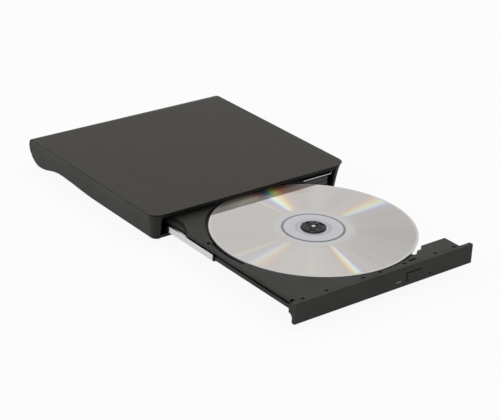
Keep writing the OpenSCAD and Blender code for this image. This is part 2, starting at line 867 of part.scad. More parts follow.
// Outline of the tray's rim, with the front shelf on the right
module rim_outline() {
    difference() {
        union() {
            patch([rim_x0, tray_front], [tray_x1, tray_rear]);
            patch([tray_x1 - eps, tray_front], [shelf_x, shelf_y]);
        }
        translate([disc_x, 0]) circle(r = recess_r, $fn = 128);
        polygon([chamfer_a, chamfer_b, [chamfer_b[0], tray_rear + over],
                 [rim_x0 - over, tray_rear + over], [rim_x0 - over, chamfer_a[1]]]);
        // Room for the bezel's end cap
        patch([rim_x0 - over, tray_front - over],
              [-bezel_w / 2 + end_cap_w + tray_gap, bezel_back - bezel_t + bezel_end_d + cap_room]);
        // Sliver beside the recess behind the shelf, and the shelf's stepped inner edge
        patch([disc_x + sliver_x, shelf_y], [tray_x1 + over, cut_b_y]);
        polygon(shelf_steps);
        // Relief beside the disc on the left
        intersection() {
            translate([disc_x, 0]) circle(r = recess_r + relief_step, $fn = 128);
            patch([rim_x0, relief_y0], [disc_x - recess_r / 2, relief_y1]);
        }
    }
}

// Outline of the tray's floor, cut off slantwise at the front right
module floor_outline() {
    difference() {
        patch([tray_x0, tray_front], [tray_x1, tray_rear]);
        polygon([cut_a, [tray_x1, cut_b_y], [tray_x1 + over, cut_b_y], [tray_x1 + over, -front_cut],
                 [cut_a[0], -front_cut]]);
    }
}

// Low walls round the tray's underside
module skirt_outline() {
    patch([tray_x0, tray_front], [tray_x0 + tray_skirt, tray_rear]);
    patch([tray_x1 - tray_skirt, cut_b_y + cut_margin], [tray_x1, tray_rear]);
    difference() {
        patch([tray_x0, tray_rear - tray_skirt], [tray_x1, tray_rear]);
        patch([ribbon_x - ribbon_w / 2 - ribbon_lane, 0], [ribbon_x + ribbon_w / 2 + ribbon_lane, far]);
        patch([striker_x - striker_lane, 0], [striker_x + striker_lane, far]);
    }
    difference() {
        patch([tray_x0, tray_front], [tray_x1, tray_front + tray_skirt]);
        patch([front_board_x0 - front_board_lane, -far], [front_board_x1 + latch_lane, 0]);
    }
}

module tray() color([0.1, 0.1, 0.1]) on_tray() difference() {
    union() {
        slab(rim_z0, rim_z1) rim_outline();
        difference() {
            slab(floor_z0, rim_z0 + eps) floor_outline();
            post(disc_x, 0, recess_r, floor_z1, rim_z1 + over, $fn = 128);
        }
        slab(tray_z0, floor_z0 + eps) skirt_outline();
        // Tongues that run in the rails
        block([left_rail_x + rail_t + slide_gap, tongue_y0, tongue_z0],
              [tray_x0 + eps, tongue_y1, tongue_z1]);
        block([tray_x1 - eps, cut_b_y + cut_margin, tongue_z0],
              [right_rail_x - rail_t - slide_gap, tongue_y1, tongue_z1]);
        // Bosses of the main board and of the latch
        for (place = main_screw_places)
            post(place[0], place[1], main_boss_r, main_board_z1, floor_z0 + eps);
        post(latch_x, latch_y, latch_boss_r, latch_z1 + slide_gap, floor_z0 + eps);
    }
    // Opening over the traverse, with a ledge for the deck plate
    translate([disc_x, 0, 0]) rotate(sled_angle) {
        slab(tray_z0, rim_z1)
            lens_path(deck_r - deck_ledge, deck_half - deck_ledge, deck_reach - deck_end_ledge);
        slab(floor_z1 - deck_t, rim_z1)
            lens_path(deck_r + deck_gap, deck_half + deck_gap, deck_reach + deck_gap);
        // Pocket over the sled motor
        block([motor_u0 - pocket_end, screw_v - motor_r - pocket_side, tray_z0],
              [motor_u0 + motor_l + pocket_end, screw_v + motor_r + pocket_side, floor_z1 - pocket_roof]);
        for (place = damper_places)
            post(place[0], place[1], damper_screw_r + fit_gap / 2, floor_z0 - over, floor_z1 - pilot_skin);
    }
    for (place = main_screw_places)
        post(place[0], place[1], board_screw_r + fit_gap / 2, main_board_z1 - over, floor_z1 - pilot_skin);
    post(latch_x, latch_y, latch_pin_r + eps, latch_z1 - over, floor_z1 - pilot_skin);
    // Notch at the rear end of the relief
    block([relief_notch_x0, relief_y1 - eps, floor_z1],
          [relief_notch_x1, relief_y1 + relief_notch_l, rim_z1 + over]);
    // Notches for the bezel's clips and the slot beside the button
    for (place = clip_places)
        block([place - clip_w / 2 - notch_gap, tray_front - over, rim_z0 - notch_drop],
              [place + clip_w / 2 + notch_gap, tray_front + clip_l, rim_z1 + over]);
    block([slot_x - slot_w / 2, slot_y - slot_l / 2, rim_z1 - slot_depth],
          [slot_x + slot_w / 2, slot_y + slot_l / 2, rim_z1 + over]);
}

// Bezel and what shows on it

bezel_round = 0.5;
end_cap_r = 2.7;
hollow_r = 2.6;
end_drop = 0.1;
end_z = tray_z0 - end_drop;
button_x = 19.9;
button_z = 9.2;
button_gap = 0.15;
button_groove = 0.65;
button_ear = 1;
button_ear_rise = 0.7;
button_ear_t = 0.5;
button_proud = 0.1;
lamp_x = 8.6;
lamp_z = 7.8;
lamp_w = 3.6;
lamp_h = 0.9;
pin_hole_x = 32;
pin_hole_z = 7;
pin_hole_r = 0.65;

// Side outline of the bezel plate with rounded front edges
module bezel_side() {
    patch([-disc_setback, bezel_z0 + bezel_round], [bezel_back, bezel_z1 - bezel_round]);
    patch([-disc_setback + bezel_round, bezel_z0], [bezel_back, bezel_z1]);
    for (z = [bezel_z0 + bezel_round, bezel_z1 - bezel_round])
        translate([-disc_setback + bezel_round, z]) circle(r = bezel_round, $fn = 32);
}

// Side outline of the left end cap: a deep block, round at its top, above a hollow that runs into the plate
module end_cap_side() {
    cap_y = -disc_setback + bezel_end_d;
    bezel_side();
    patch([bezel_back - over, end_z], [cap_y, bezel_z1 - end_cap_r]);
    patch([bezel_back - over, end_z], [cap_y - end_cap_r, bezel_z1]);
    translate([cap_y - end_cap_r, bezel_z1 - end_cap_r]) circle(r = end_cap_r, $fn = 48);
    difference() {
        patch([bezel_back - eps, end_z - hollow_r], [bezel_back + hollow_r, end_z + eps]);
        translate([bezel_back + hollow_r, end_z - hollow_r]) circle(r = hollow_r, $fn = 48);
    }
}

module bezel() color([0.09, 0.09, 0.09]) on_tray() difference() {
    union() {
        across(-bezel_w / 2, bezel_w / 2) bezel_side();
        across(-bezel_w / 2, -bezel_w / 2 + end_cap_w) end_cap_side();
        for (place = clip_places)
            block([place - clip_w / 2, bezel_back - eps, clip_z0],
                  [place + clip_w / 2, bezel_back + clip_l, clip_z1]);
    }
    // Opening of the button, with a groove along its left and upper edges
    block([button_x - button_w / 2 - button_groove, -disc_setback - over,
           button_z - button_h / 2 - button_gap],
          [button_x + button_w / 2 + button_gap, bezel_back + over, button_z + button_h / 2 + button_groove]);
    translate([lamp_x - lamp_w / 2, -disc_setback - over, lamp_z - lamp_h / 2])
        cube([lamp_w, bezel_t + 2 * over, lamp_h]);
    translate([pin_hole_x, -disc_setback - over, pin_hole_z]) rotate([-90, 0, 0])
        cylinder(r = pin_hole_r, h = bezel_t + 2 * over);
}

lamp_fit = 0.03;
lamp_flange = 0.5;
lamp_flange_t = 0.7;

module light_window() color([0.6, 0.7, 0.6]) on_tray() {
    translate([lamp_x - lamp_w / 2 + lamp_fit, -disc_setback, lamp_z - lamp_h / 2 + lamp_fit])
        cube([lamp_w - 2 * lamp_fit, bezel_t + eps, lamp_h - 2 * lamp_fit]);
    translate([lamp_x - lamp_w / 2 - lamp_flange, bezel_back, lamp_z - lamp_h / 2 - lamp_flange])
        cube([lamp_w + 2 * lamp_flange, lamp_flange_t, lamp_h + 2 * lamp_flange]);
}

module eject_button() color([0.1, 0.1, 0.1]) on_tray() {
    translate([button_x - button_w / 2, -disc_setback - button_proud, button_z - button_h / 2])
        cube([button_w, bezel_t + button_proud + fit_gap + button_ear_t, button_h]);
    translate([button_x - button_w / 2 - button_ear, bezel_back + fit_gap, button_z - button_h / 2])
        cube([button_w + 2 * button_ear, button_ear_t, button_h + button_ear_rise]);
}

module front_board() color([0.1, 0.35, 0.2]) on_tray()
    block([front_board_x0, front_board_y, floor_z0 - front_board_h],
          [front_board_x1, front_board_y + front_board_t, floor_z0]);

switch_w = 3.6;
switch_t = 0.85;
plunger_r = 1;
plunger_rise = 0.15;

module eject_switch() color([0.7, 0.7, 0.7]) on_tray() {
    block([button_x - switch_w / 2, front_board_y - switch_t + plunger_rise, button_z - switch_w / 2],
          [button_x + switch_w / 2, front_board_y, button_z + switch_w / 2]);
    translate([button_x, front_board_y - switch_t, button_z]) rotate([-90, 0, 0])
        cylinder(r = plunger_r, h = 2 * plunger_rise);
}

lamp_led = [2, 0.7, 1.2];

module status_lamp() color([0.9, 0.9, 0.8]) on_tray()
    translate([lamp_x - lamp_led[0] / 2, front_board_y - lamp_led[1], lamp_z - lamp_led[2] / 2])
        cube(lamp_led);

// Tray electronics

module main_board() color([0.1, 0.35, 0.2]) on_tray() difference() {
    block([main_board_x0, board_y0, main_board_z1 - main_board_t], [main_board_x1, board_y1, main_board_z1]);
    for (place = main_screw_places)
        post(place[0], place[1], board_screw_r + fit_gap,
             main_board_z1 - main_board_t - over, main_board_z1 + over);
}

main_chip_list = [[-18, 36, 12], [2, 40, 9], [-4, 33, 4]];
main_chip_t = 1;

module main_chips() color([0.06, 0.06, 0.06]) on_tray()
    for (chip = main_chip_list)
        translate([chip[0], chip[1], main_board_z1 - main_board_t - main_chip_t])
            cube([chip[2], chip[2], main_chip_t]);

socket_y1 = board_y1;
socket_l = 4;
socket_h = 1.2;
socket_end = 2;
socket_z = main_board_z1 - main_board_t - socket_h / 2 - ribbon_t / 2;

module ribbon_socket() color([0.85, 0.83, 0.75]) on_tray()
    block([ribbon_x - ribbon_w / 2 - socket_end, socket_y1 - socket_l,
           main_board_z1 - main_board_t - socket_h],
          [ribbon_x + ribbon_w / 2 + socket_end, socket_y1, main_board_z1 - main_board_t]);

small_head_r = 1.5;
small_head_t = 0.5;

module main_board_screws() color([0.5, 0.5, 0.52]) on_tray()
    for (place = main_screw_places) {
        z = main_board_z1 - main_board_t;
        post(place[0], place[1], small_head_r, z - small_head_t, z);
        post(place[0], place[1], board_screw_r, z - eps, floor_z0 + floor_bite);
    }

// Traverse: deck, chassis, rods, motors

deck_hole_gap = 1;

module deck_plate() color([0.55, 0.56, 0.57]) on_traverse() difference() {
    slab(floor_z1 - deck_t, floor_z1) lens_path(deck_r, deck_half, deck_reach);
    post(0, 0, turntable_d / 2 + deck_hole_gap, 0, case_h);
    block([lens_r0 - window_half, -window_half, 0],
          [lens_r0 + pickup_travel + window_end, window_half, case_h]);
}

chassis_t = 0.8;
chassis_lift = 1.3;
chassis_z0 = pan_z + chassis_lift;
chassis_z1 = chassis_z0 + chassis_t;
carriage_half = 16.5;
carriage_back = 8;
carriage_lift = 0.5;
carriage_z0 = pan_z + carriage_lift;
carriage_drop = 0.3;
carriage_z1 = floor_z0 - carriage_drop;
travel_gap = 0.8;
near_margin = 1.2;
near_u = lens_r0 - carriage_back - travel_gap - near_margin;
far_u = lens_r0 + pickup_travel + carriage_back + travel_gap;
rod_v = 14;
rod_z = (carriage_z0 + carriage_z1) / 2;
holder_t = 2;
holder_half = 2.2;
holder_lift = 0.2;
rotor_r = 11;
rotor_room = 1;
rotor_hole_r = rotor_r + rotor_room;
ear_r = 4.2;
damper_hole_r = 2.15;
bearing_gap = 0.1;
bearing_u = lens_r0 + pickup_travel + bearing_gap;
bearing_t = 1.4;
bearing_in = 1.6;
bearing_out = 3;
plate_t = 1;
plate_in = 2;
plate_out = 2.4;
plate_drop = 0.4;
plate_rise = 1;
chassis_u0 = -17;
chassis_v0 = -20.5;
chassis_v1 = 24.8;
chassis_end_half = 15.5;
chassis_taper = 6.5;
chassis_slant = [13, 8.8];
carriage_clear = 0.7;
nut_clear = 2.2;
motor_clear = 0.3;
motor_end_gap = 0.5;

module chassis() color([0.35, 0.35, 0.36]) on_traverse() difference() {
    union() {
        slab(chassis_z0, chassis_z1) {
            polygon([
                [chassis_u0, chassis_v0], [far_u - chassis_taper, chassis_v0],
                [far_u + holder_t, -chassis_end_half], [far_u + holder_t, chassis_end_half],
                [far_u - chassis_taper, chassis_v1], [chassis_u0 + chassis_slant[0], chassis_v1],
                [chassis_u0, chassis_v1 - chassis_slant[1]],
            ]);
            for (place = damper_places) translate(place) circle(r = ear_r);
            patch([far_u, -ear_r], [damper_places[2][0], ear_r]);
        }
        // Rod holders at both ends
        for (v = [-rod_v, rod_v], u = [near_u - holder_t, far_u])
            block([u, v - holder_half, carriage_z0 + holder_lift],
                  [u + holder_t, v + holder_half, carriage_z1]);
        // Motor face plate and end bearing of the lead screw
        block([motor_u0 + motor_l, screw_v - plate_in, chassis_z0 - plate_drop],
              [motor_u0 + motor_l + plate_t, screw_v + plate_out, chassis_z1 + plate_rise]);
        block([bearing_u, screw_v - bearing_in, chassis_z0 - plate_drop / 2],
              [bearing_u + bearing_t, screw_v + bearing_out, chassis_z1 + plate_rise]);
    }
    post(0, 0, rotor_hole_r, 0, case_h);
    // Window for the pickup, between the rod holders
    block([near_u, -carriage_half - carriage_clear, 0], [far_u, carriage_half + carriage_clear, case_h]);
    // Windows for the nut and for the motor
    block([motor_u0 + motor_l + plate_t, carriage_half, 0], [bearing_u, screw_v + nut_clear, case_h]);
    block([motor_u0 - motor_end_gap, screw_v - motor_r - motor_clear, 0],
          [motor_u0 + motor_l, screw_v + motor_r + motor_clear, case_h]);
    for (v = [-rod_v, rod_v]) translate([near_u - holder_t - over, v, rod_z]) rotate([0, 90, 0])
        cylinder(d = rod_d + 2 * eps, h = far_u - near_u + 2 * holder_t + 2 * over);
    translate([motor_u0, screw_v, screw_z]) rotate([0, 90, 0])
        cylinder(d = screw_d + 2 * run_gap, h = bearing_u + bearing_t + over);
    for (place = damper_places) post(place[0], place[1], damper_hole_r, 0, case_h);
}

damper_r = 3;
damper_neck_r = 2.1;
damper_bore_r = 1;
damper_foot_t = 0.4;

module dampers() color([0.12, 0.12, 0.12]) on_traverse()
    for (place = damper_places) translate([place[0], place[1], 0]) rotate_extrude()
        polygon([
            [damper_bore_r, chassis_z0 - damper_foot_t], [damper_r, chassis_z0 - damper_foot_t],
            [damper_r, chassis_z0], [damper_neck_r, chassis_z0], [damper_neck_r, chassis_z1],
            [damper_r, chassis_z1], [damper_r, floor_z0], [damper_bore_r, floor_z0],
        ]);

damper_head_r = 1.8;
damper_head_t = 0.5;

module damper_screws() color([0.5, 0.5, 0.52]) on_traverse()
    for (place = damper_places) {
        z = chassis_z0 - damper_foot_t;
        post(place[0], place[1], damper_head_r, z - damper_head_t, z);
        post(place[0], place[1], damper_screw_r, z - eps, floor_z0 + floor_bite);
    }

module guide_rods() color([0.82, 0.83, 0.84]) on_traverse()
    for (v = [-rod_v, rod_v]) translate([near_u - holder_t, v, rod_z]) rotate([0, 90, 0])
        cylinder(d = rod_d, h = far_u - near_u + 2 * holder_t);

motor_socket = 3;
screw_end_gap = 0.2;

module sled_motor() color([0.7, 0.7, 0.7]) on_traverse() difference() {
    translate([motor_u0, screw_v, screw_z]) rotate([0, 90, 0]) cylinder(r = motor_r, h = motor_l);
    translate([motor_u0 + motor_l - motor_socket, screw_v, screw_z]) rotate([0, 90, 0])
        cylinder(d = screw_d + 2 * run_gap, h = motor_socket + over);
}

module lead_screw() color([0.78, 0.78, 0.76]) on_traverse()
    translate([motor_u0 + motor_l - motor_socket + screw_end_gap, screw_v, screw_z]) rotate([0, 90, 0])
        cylinder(d = screw_d,
                 h = bearing_u + bearing_t - motor_u0 - motor_l + motor_socket - 2 * screw_end_gap);

// Spindle

base_r = 14;
base_t = 0.4;
sleeve_r = 2.4;
sleeve_drop = 0.3;
sleeve_z0 = chassis_z0 - base_t - sleeve_drop;
roof_t = 0.7;
turntable_t = 0.7;
ring_t = 0.6;
turntable_z1 = disc_z0 - ring_t;
rotor_z1 = turntable_z1 - turntable_t;
sleeve_gap = 0.2;
sleeve_z1 = rotor_z1 - roof_t - sleeve_gap;
shaft_seat = 0.2;
shaft_z0 = sleeve_z0 + shaft_seat;

module spindle_base() color([0.7, 0.71, 0.72]) on_traverse() difference() {
    union() {
        post(0, 0, base_r, chassis_z0 - base_t, chassis_z0);
        post(0, 0, sleeve_r, sleeve_z0, sleeve_z1);
    }
    post(0, 0, shaft_d / 2 + run_gap, shaft_z0 - run_gap, case_h);
}

coil_r = 9.2;
coil_t = 1.3;
coil_teeth = 9;
coil_tooth_w = 3.4;
coil_core_r = 4.4;

module spindle_coil() color([0.7, 0.4, 0.2]) on_traverse() difference() {
    slab(chassis_z0, chassis_z0 + coil_t) {
        circle(r = coil_core_r);
        intersection() {
            circle(r = coil_r);
            for (i = [0 : coil_teeth - 1]) rotate(360 * i / coil_teeth)
                patch([0, -coil_tooth_w / 2], [coil_r + over, coil_tooth_w / 2]);
        }
    }
    post(0, 0, sleeve_r + eps, 0, case_h);
}

hub_fit = 0.15;
hub_r = disc_hole_d / 2 - hub_fit;
hub_rise = 1;
hub_z1 = disc_z1 + hub_rise;
shaft_rise = 0.1;
shaft_z1 = hub_z1 + shaft_rise;
rotor_wall = 0.8;
rotor_lift = 0.3;

module spindle_shaft() color([0.85, 0.85, 0.86]) on_traverse() post(0, 0, shaft_d / 2, shaft_z0, shaft_z1);

module spindle_rotor() color([0.75, 0.75, 0.76]) on_traverse() difference() {
    post(0, 0, rotor_r, chassis_z0 + rotor_lift, rotor_z1);
    post(0, 0, rotor_r - rotor_wall, 0, rotor_z1 - roof_t);
    post(0, 0, shaft_d / 2 + eps, 0, case_h);
}

module turntable() color([0.12, 0.12, 0.12]) on_traverse() difference() {
    post(0, 0, turntable_d / 2, rotor_z1, turntable_z1);
    post(0, 0, shaft_d / 2 + eps, 0, case_h);
}

ring_w = 3.5;
ring_inset = 0.5;

module friction_ring() color([0.2, 0.2, 0.2]) on_traverse() difference() {
    post(0, 0, turntable_d / 2 - ring_inset, turntable_z1, disc_z0);
    post(0, 0, turntable_d / 2 - ring_inset - ring_w, 0, case_h);
}

hub_edge = 0.5;
hub_slots = 9;
hub_slot_w = 0.9;
hub_slot_depth = 0.4;
hub_slot_r0 = 2.2;
hub_slot_r1 = 6.1;
hub_groove_w = 0.6;
claw_count = 3;
claw_w = 2.6;
claw_in_r = 4.6;
claw_grip = 0.2;
claw_out_r = disc_hole_d / 2 + claw_grip;
claw_t = 0.5;
claw_lift = 0.06;

// The outline of the claws, shared with their slots in the hub
module claw_outline(gap) {
    intersection() {
        difference() {
            circle(r = claw_out_r + gap);
            circle(r = claw_in_r - gap);
        }
        for (i = [0 : claw_count - 1]) rotate(360 * i / claw_count)
            patch([0, -claw_w / 2 - gap], [claw_out_r + over, claw_w / 2 + gap]);
    }
}

module chuck_hub() color([0.07, 0.07, 0.07]) on_traverse() difference() {
    rotate_extrude() polygon([[0, turntable_z1], [hub_r, turntable_z1], [hub_r, hub_z1 - hub_edge],
                              [hub_r - hub_edge, hub_z1], [0, hub_z1]]);
    post(0, 0, shaft_d / 2 + eps, 0, case_h);
    slab(disc_z1 + claw_lift, hub_z1 + over) claw_outline(fit_gap);
    // Pads on the top, between slots and a round groove
    slab(hub_z1 - hub_slot_depth, hub_z1 + over) {
        for (i = [0 : hub_slots - 1]) rotate(360 * (i + 0.5) / hub_slots)
            patch([hub_slot_r0, -hub_slot_w / 2], [hub_slot_r1, hub_slot_w / 2]);
        difference() {
            circle(r = hub_slot_r0 + hub_groove_w);
            circle(r = hub_slot_r0);
        }
    }
}

module chuck_claws() color([0.15, 0.15, 0.15]) on_traverse()
    slab(disc_z1 + claw_lift, disc_z1 + claw_lift + claw_t) claw_outline(0);

groove_r = 18.3;
groove_w = 0.8;
groove_depth = 0.15;

module disc() color([0.85, 0.86, 0.88]) on_traverse() difference() {
    post(0, 0, disc_d / 2, disc_z0, disc_z1, $fn = 180);
    post(0, 0, disc_hole_d / 2, 0, case_h);
    difference() {
        post(0, 0, groove_r + groove_w / 2, disc_z1 - groove_depth, case_h);
        post(0, 0, groove_r - groove_w / 2, 0, case_h);
    }
}

// Pickup

pocket_u = 5.6;
pocket_v = 6;
pocket_floor = 0.5;
carriage_gap = run_gap;
waist_r = 4;
waist_u = 2;
waist_v = 9.5;

module pickup_carriage() color([0.45, 0.45, 0.46]) on_traverse() translate([lens_r0, 0, 0]) difference() {
    slab(carriage_z0, carriage_z1) difference() {
        patch([-carriage_back, -carriage_half], [carriage_back, carriage_half]);
        // Waist between the two rod bearings on the outer side
        for (side = [-1, 1]) translate([carriage_back + waist_u, side * waist_v]) circle(r = waist_r);
    }
    block([-pocket_u, -pocket_v, carriage_z0 + pocket_floor], [pocket_u, pocket_v, case_h]);
    for (v = [-rod_v, rod_v]) translate([-carriage_back - over, v, rod_z]) rotate([0, 90, 0])
        cylinder(d = rod_d + 2 * carriage_gap, h = 2 * carriage_back + 2 * over);
}

nut_u0 = -7;
nut_u1 = -1;
nut_side = 1.6;
nut_v1 = screw_v + nut_side;
nut_lift = 0.6;

module drive_nut() color([0.9, 0.9, 0.86]) on_traverse() translate([lens_r0, 0, 0]) difference() {
    block([nut_u0, carriage_half, carriage_z0 + nut_lift], [nut_u1, nut_v1, carriage_z1]);
    translate([nut_u0 - over, screw_v, screw_z]) rotate([0, 90, 0])
        cylinder(d = screw_d + 2 * run_gap, h = nut_u1 - nut_u0 + 2 * over);
}

yoke_t = 0.8;
yoke_u = 4.6;
yoke_half = 3;
yoke_drop = 0.1;

module actuator_yoke() color([0.6, 0.6, 0.62]) on_traverse() translate([lens_r0, 0, 0])
    for (side = [-1, 1])
        translate([side > 0 ? yoke_u : -yoke_u - yoke_t, -yoke_half, carriage_z0 + pocket_floor])
            cube([yoke_t, 2 * yoke_half, carriage_z1 - carriage_z0 - pocket_floor - yoke_drop]);

holder_u = 4;
holder_v = 4.5;
focus_travel = 0.3;
holder_gap = 0.2;
lens_holder_z0 = carriage_z0 + pocket_floor + focus_travel + holder_gap;
lens_holder_z1 = floor_z0 - focus_travel - fit_gap;
lens_r = 2.2;
lens_h = 1.1;
lens_seat = 0.5;

module lens_holder() color([0.12, 0.12, 0.13]) on_traverse() translate([lens_r0, 0, 0]) difference() {
    block([-holder_u, -holder_v, lens_holder_z0], [holder_u, holder_v, lens_holder_z1]);
    post(0, 0, lens_r - lens_seat, 0, case_h);
}

module objective_lens() color([0.6, 0.7, 0.85]) on_traverse() translate([lens_r0, 0, lens_holder_z1])
    rotate_extrude() polygon([
        [0, 0], [lens_r, 0], [lens_r, lens_h * 0.4], [lens_r * 0.75, lens_h * 0.85], [0, lens_h],
    ]);

// Latch

latch_t = 1.2;
latch_z0 = latch_z1 - latch_t;
latch_arm = 2.2;
lever_half = 1.2;
lever_web = 1;
hook_tip = 2;
hook_back = [2.2, 1.6];
tail_l = 9;
tail_root = 1.5;
tail_end = [0.5, -2.5];
catch_gap = 0.25;

latch_pin_end = 0.3;

module latch_pin() color([0.75, 0.75, 0.76]) on_tray()
    post(latch_x, latch_y, latch_pin_r, latch_z0 - latch_pin_end, floor_z0);

// Lever with a hook behind the striker pin and a tail for the armature
module latch_lever() color([0.9, 0.9, 0.86]) on_tray() {
    dx = striker_x - latch_x;
    dy = striker_from_disc - latch_y;
    clear = striker_r + catch_gap;
    translate([latch_x, latch_y, 0]) difference() {
        slab(latch_z0, latch_z1) {
            circle(r = latch_arm);
            polygon([
                [latch_arm * 0.6, -lever_half], [dx - clear, dy - lever_web], [dx - clear, dy + clear],
                [dx + striker_r * 0.8, dy + clear], [dx - striker_r * 0.4, dy + clear + hook_tip],
                [dx - clear - hook_back[0], dy + clear + hook_back[1]], [-latch_arm * 0.8, lever_half],
            ]);
            polygon([[0, tail_root], [-tail_l, tail_end[0]], [-tail_l, tail_end[1]], [0, -tail_root]]);
        }
        post(0, 0, latch_pin_r + run_gap, 0, case_h);
    }
}

armature_l = 5;
armature_t = 0.8;

module latch_armature() color([0.6, 0.6, 0.62]) on_tray()
    translate([latch_x - tail_l, latch_y + tail_end[1], latch_z0])
        rotate(atan2(-tail_root - tail_end[1], tail_l)) translate([0, -armature_t, 0])
            cube([armature_l, armature_t, latch_z1 - latch_z0]);

solenoid_x0 = 4.5;
solenoid_x1 = 14;
solenoid_y0 = 5;
solenoid_y1 = 8.8;
solenoid_drop = 0.2;

module latch_solenoid() color([0.65, 0.4, 0.25]) on_tray()
    block([latch_x - solenoid_x1, latch_y - solenoid_y1, latch_z0 - solenoid_drop],
          [latch_x - solenoid_x0, latch_y - solenoid_y0, floor_z0]);

top_cover();
bottom_cover();
front_feet();
rear_pads();
case_screws();
drive_top_case();
drive_bottom_case();
drive_screws();
drive_bracket();
bracket_screw();
rear_board();
rear_plug();
ribbon_cable();
striker_pin();
bridge_board();
bridge_socket();
bridge_chips();
usb_socket();
board_screws();
left_rail();
right_rail();
tray();
bezel();
light_window();
front_board();
eject_switch();
status_lamp();
eject_button();
main_board();
main_chips();
ribbon_socket();
main_board_screws();
deck_plate();
chassis();
dampers();
damper_screws();
guide_rods();
sled_motor();
lead_screw();
spindle_base();
spindle_coil();
spindle_shaft();
spindle_rotor();
turntable();
friction_ring();
chuck_hub();
chuck_claws();
disc();
pickup_carriage();
drive_nut();
actuator_yoke();
lens_holder();
objective_lens();
latch_pin();
latch_lever();
latch_armature();
latch_solenoid();
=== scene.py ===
# External disc drive with its tray run out and a disc on the chuck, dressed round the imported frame.
import math

import bmesh
import bpy
from mathutils import Matrix, Vector


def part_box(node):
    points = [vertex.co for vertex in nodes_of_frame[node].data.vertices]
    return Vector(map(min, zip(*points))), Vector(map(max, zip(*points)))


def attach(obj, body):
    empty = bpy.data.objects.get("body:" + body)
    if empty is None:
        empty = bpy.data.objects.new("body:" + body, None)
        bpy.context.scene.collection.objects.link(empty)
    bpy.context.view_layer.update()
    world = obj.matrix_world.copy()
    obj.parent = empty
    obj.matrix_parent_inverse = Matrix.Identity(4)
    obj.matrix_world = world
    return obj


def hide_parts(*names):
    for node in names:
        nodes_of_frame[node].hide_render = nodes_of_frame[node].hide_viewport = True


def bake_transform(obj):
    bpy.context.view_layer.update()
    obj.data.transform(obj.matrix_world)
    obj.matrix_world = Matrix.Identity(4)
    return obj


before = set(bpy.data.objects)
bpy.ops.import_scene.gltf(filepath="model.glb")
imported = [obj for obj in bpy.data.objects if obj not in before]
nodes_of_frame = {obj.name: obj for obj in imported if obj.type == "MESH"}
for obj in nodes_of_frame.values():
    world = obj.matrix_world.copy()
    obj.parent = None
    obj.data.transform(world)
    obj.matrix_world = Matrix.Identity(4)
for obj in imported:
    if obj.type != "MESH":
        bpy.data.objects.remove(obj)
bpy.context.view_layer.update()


# The studio: a pale seamless floor that shows as white, an even sky, and two soft lamps.
# One lamp hangs over the case and one stands to its left, and the disc mirrors neither.
# The camera stands to the left of the tray's front, as a product photographer would set it.
floor_half = 4.0
floor_colour = (0.86, 0.86, 0.86, 1)
floor_glow = 0.92
sky_colour = (1.0, 1.0, 1.0, 1)
sky_fill = 0.40
sky_seen_level = 1.0


def new_finish(name):
    finish = bpy.data.materials.new(name)
    finish.use_nodes = True
    tree = finish.node_tree
    return finish, tree.nodes, tree.links, tree.nodes["Principled BSDF"]


def white_to_the_eye(tree):
    """1 for rays from the camera, mirrors and clear pieces, 0 for rays that carry light."""
    path = tree.nodes.new("ShaderNodeLightPath")
    mirror = tree.nodes.new("ShaderNodeMath")
    mirror.operation = "MAXIMUM"
    clear = tree.nodes.new("ShaderNodeMath")
    clear.operation = "MAXIMUM"
    tree.links.new(path.outputs["Is Camera Ray"], mirror.inputs[0])
    tree.links.new(path.outputs["Is Glossy Ray"], mirror.inputs[1])
    tree.links.new(mirror.outputs[0], clear.inputs[0])
    tree.links.new(path.outputs["Is Transmission Ray"], clear.inputs[1])
    return clear.outputs[0]


floor_mesh = bpy.data.meshes.new("studio_floor")
floor_corners = [(-floor_half, -floor_half, 0), (floor_half, -floor_half, 0),
                 (floor_half, floor_half, 0), (-floor_half, floor_half, 0)]
floor_mesh.from_pydata(floor_corners, [], [(0, 1, 2, 3)])
floor = bpy.data.objects.new("studio_floor", floor_mesh)
bpy.context.scene.collection.objects.link(floor)
paper, paper_nodes, paper_links, paper_shader = new_finish("seamless_paper")
paper_shader.inputs["Base Color"].default_value = floor_colour
paper_shader.inputs["Roughness"].default_value = 0.9
paper_shader.inputs["Specular IOR Level"].default_value = 0.0
paper_glow = paper_nodes.new("ShaderNodeEmission")
paper_glow.inputs["Color"].default_value = sky_colour
paper_seen = paper_nodes.new("ShaderNodeMath")
paper_seen.operation = "MULTIPLY"
paper_seen.inputs[1].default_value = floor_glow
paper_mix = paper_nodes.new("ShaderNodeMixShader")
paper_links.new(white_to_the_eye(paper.node_tree), paper_seen.inputs[0])
paper_links.new(paper_seen.outputs[0], paper_mix.inputs["Fac"])
paper_links.new(paper_shader.outputs[0], paper_mix.inputs[1])
paper_links.new(paper_glow.outputs[0], paper_mix.inputs[2])
paper_links.new(paper_mix.outputs[0], paper_nodes["Material Output"].inputs["Surface"])
floor_mesh.materials.append(paper)

sky = bpy.data.worlds.new("studio_sky")
bpy.context.scene.world = sky
sky.use_nodes = True
sky_tree = sky.node_tree
sky_light = sky_tree.nodes["Background"]
sky_light.inputs["Color"].default_value = sky_colour
sky_seen = sky_tree.nodes.new("ShaderNodeMapRange")
sky_seen.inputs["To Min"].default_value = sky_fill
sky_seen.inputs["To Max"].default_value = sky_seen_level
sky_tree.links.new(white_to_the_eye(sky_tree), sky_seen.inputs["Value"])
sky_tree.links.new(sky_seen.outputs["Result"], sky_light.inputs["Strength"])

